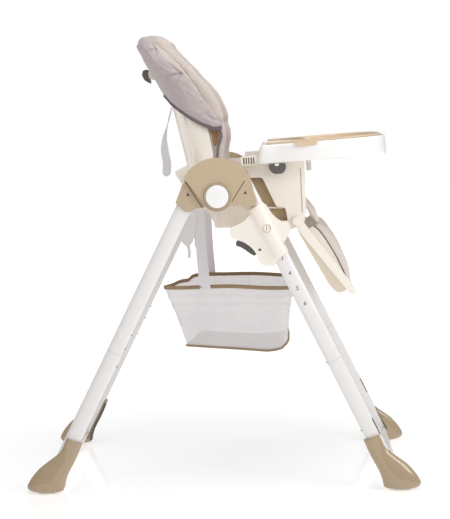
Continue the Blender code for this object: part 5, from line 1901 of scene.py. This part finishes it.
def basket():
    count, rows = 84, 30
    bm = bmesh.new()
    grid = []
    levels = [basket_level(row / rows) for row in range(rows + 1)]
    for row in range(rows + 1):
        share = row / rows
        grid.append([bm.verts.new(basket_point_from(levels[row][index], share)) for index in range(count)])
    for low, high in zip(grid, grid[1:]):
        for index in range(count):
            after = (index + 1) % count
            bm.faces.new((low[index], low[after], high[after], high[index]))
    walls = finished("basket_net", mesh_of(bm, "basket_net"), NET, 80)
    shown(walls, "seat_unit", "white_mesh_net", "basket")
    rim = [basket_point_from(point, 1.0) for point in levels[-1]]
    out = [(Vector((point.x, point.y - 0.01, 0))).normalized() for point in rim]
    near = tube(
        "basket_rim_binding", [point + Vector((0, 0, 0.001)) for point in rim], 0.0046, BINDING_TAN, 0.5,
        out, 10, closed=True
    )
    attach(near, "seat_unit")
    foot = [basket_point_from(point, 0.0) for point in levels[0]]
    foot_band = tube(
        "basket_floor_binding", [point + Vector((0, 0, -0.001)) for point in foot], 0.0042, BINDING_TAN,
        0.6, None, 10, closed=True
    )
    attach(foot_band, "seat_unit")
    inset = [(point.x * 0.972, point.y * 0.972) for point in foot]
    rings = []
    for rise, share in ((-0.0006, 0.975), (-0.0010, 0.99), (0.0020, 0.99), (0.0028, 0.975)):
        rings.append([
            (
                x * share, y * share,
                eased(y, BASKET_SAG, 0.006) + rise + 0.0008 * math.sin(x * 30) * math.cos(y * 26)
            )
            for x, y in inset
        ])
    board = skin("basket_floor_board", rings, COVER_SIDE, angle=60)
    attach(board, "seat_unit")
    for side in SIDES:
        sign = SIDES[side]
        run = through(
            [(0.0475, 0.6450), (0.0465, 0.5900), (0.0440, 0.5300), (0.0400, 0.4750), (0.0385, 0.4580)], 40
        )
        path = [(sign * (0.1487 + 0.0006 * math.sin(i * 0.5)), y, z) for i, (y, z) in enumerate(run)]
        ways = [(0.10 * math.sin(i * 0.25), 1, 0) for i in range(40)]
        webbing(
            f"basket_webbing_{side}", path, [0.026] * 40, ways, 0.0018, "seat_unit", WEBBING,
            f"basket_strap_{side}"
        )
        run = through([
            (0.0660, 0.6450), (0.0700, 0.6200), (0.0745, 0.5900), (0.0780, 0.5720), (0.0745, 0.5500), (0.0750, 0.5330)
        ], 40)
        path = [(sign * (0.1500 - 0.0008 * math.sin(i * 0.4)), y, z) for i, (y, z) in enumerate(run)]
        widths = [0.027 - 0.019 * smooth_step(i / 39, 0.58, 0.72) for i in range(40)]
        webbing(f"spare_webbing_{side}", path, widths, ways, 0.0016, "seat_unit", WEBBING)


def basket_point_from(plan, share):
    x, y = plan
    floor = eased(y, BASKET_SAG, 0.006)
    z = floor + (BASKET_RIM - floor) * share
    fold = 0.0035 * math.exp(-(((z - 0.437) / 0.004) ** 2)) + 0.0028 * math.exp(-(((z - 0.415) / 0.004) ** 2))
    wave = 0.0022 * noise.noise(Vector((x * 16, y * 16, z * 9 + 4.0)))
    out = Vector((x, y - 0.01)).normalized()
    move = fold - math.sin(math.pi * share) * 0.0030 + wave * (1 if share < 1 else 0.4)
    rise = 0.0022 * math.sin(x * 40) * math.cos(y * 34) * smooth_step(share, 0.7, 1.0)
    droop = -0.0060 * smooth_step(share, 0.6, 1.0) * smooth_step(-y, 0.02, 0.17)
    return Vector((x + out.x * move, y + out.y * move, z + rise + droop))




# ---------------------------------------------------------------- floor, light and camera

def floor():
    bm = bmesh.new()
    bmesh.ops.create_grid(bm, x_segments=1, y_segments=1, size=14)
    mesh = mesh_of(bm, "floor")
    made, tree, shader = base_material("studio_floor", Roughness=0.12)
    place = node(tree, "ShaderNodeTexCoord").outputs["Object"]
    tone = node(tree, "ShaderNodeTexNoise", [("Vector", place)], in_Scale=0.8, in_Detail=2.0)
    away = node(tree, "ShaderNodeVectorMath", [(0, place)], operation="LENGTH")
    far = node(
        tree, "ShaderNodeMapRange", [("Value", away.outputs["Value"])], in_From_Min=0.5, in_From_Max=1.5
    )
    shade = node(tree, "ShaderNodeMix", [("Factor", tone.outputs["Fac"])], data_type="RGBA")
    shade.inputs[6].default_value = (0.60, 0.60, 0.60, 1)
    shade.inputs[7].default_value = (0.64, 0.64, 0.64, 1)
    fade = node(tree, "ShaderNodeMix", [("Factor", far.outputs[0])], data_type="RGBA")
    tree.links.new(shade.outputs[2], fade.inputs[6])
    fade.inputs[7].default_value = (0.0, 0.0, 0.0, 1)
    tree.links.new(fade.outputs[2], shader.inputs["Base Color"])
    glow = node(tree, "ShaderNodeMix", [("Factor", far.outputs[0])], data_type="RGBA")
    glow.inputs[6].default_value = (0.52, 0.52, 0.52, 1)
    glow.inputs[7].default_value = (1.0, 1.0, 1.0, 1)
    tree.links.new(glow.outputs[2], shader.inputs["Emission Color"])
    shader.inputs["Emission Strength"].default_value = 1.0
    shader.inputs["Specular IOR Level"].default_value = 0.60
    obj = finished("floor", mesh, made)


def area_light(name, place, aim, size, power, color=(1, 1, 1), size_y=None):
    light = bpy.data.lights.new(name, "AREA")
    light.energy = power
    light.color = color
    light.shape = "RECTANGLE"
    light.size = size
    light.size_y = size_y or size
    obj = bpy.data.objects.new(name, light)
    obj.location = place
    obj.rotation_euler = (Vector(aim) - Vector(place)).to_track_quat("-Z", "Y").to_euler()
    SCENE.collection.objects.link(obj)


def studio():
    world = bpy.data.worlds.new("studio")
    world.use_nodes = True
    tree = world.node_tree
    background = tree.nodes["Background"]
    background.inputs["Color"].default_value = (1, 1, 1, 1)
    seen = node(tree, "ShaderNodeLightPath")
    strength = node(
        tree, "ShaderNodeMapRange", [("Value", seen.outputs["Is Camera Ray"])], in_To_Min=0.42,
        in_To_Max=1.0
    )
    tree.links.new(strength.outputs[0], background.inputs["Strength"])
    SCENE.world = world
    area_light("key", (-1.3, -1.9, 1.5), (-0.1, -0.2, 0.45), 1.0, 16)
    area_light("fill", (-3.4, -0.4, 1.6), (0, 0, 0.5), 1.6, 4)
    area_light("top", (-0.3, -0.3, 3.0), (0, 0, 0.5), 1.8, 30)
    area_light("strip_front", (-1.3, -0.4, 1.9), (-0.27, -0.42, 0.06), 0.12, 2.0, size_y=0.5)
    area_light("strip_rear", (-1.3, 0.5, 1.9), (-0.27, 0.42, 0.06), 0.12, 2.0, size_y=0.5)
    SCENE.view_settings.view_transform = "Standard"


def camera():
    lens = bpy.data.cameras.new("view")
    lens.lens = 105.19
    lens.sensor_width = 36
    lens.sensor_fit = "AUTO"
    obj = bpy.data.objects.new("view", lens)
    right = Vector((0.03613132, -0.99914512, -0.0200887))
    up = Vector((0.09754675, -0.01647975, 0.99509449))
    back = -Vector((0.99457486, 0.03791366, -0.09686792))
    obj.matrix_world = Matrix.Translation(
        (-3.72, -0.1460, 0.8758)
    ) @ Matrix((right, up, back)).transposed().to_4x4()
    SCENE.collection.objects.link(obj)
    SCENE.camera = obj


build_frame()
build_hard_seat()
backrest_shell()
backrest_pad()
backrest_hood()
pad_piping()
seat_cushion()
leg_cushion()
cushion_bridge()
harness()
basket()
floor()
studio()
camera()
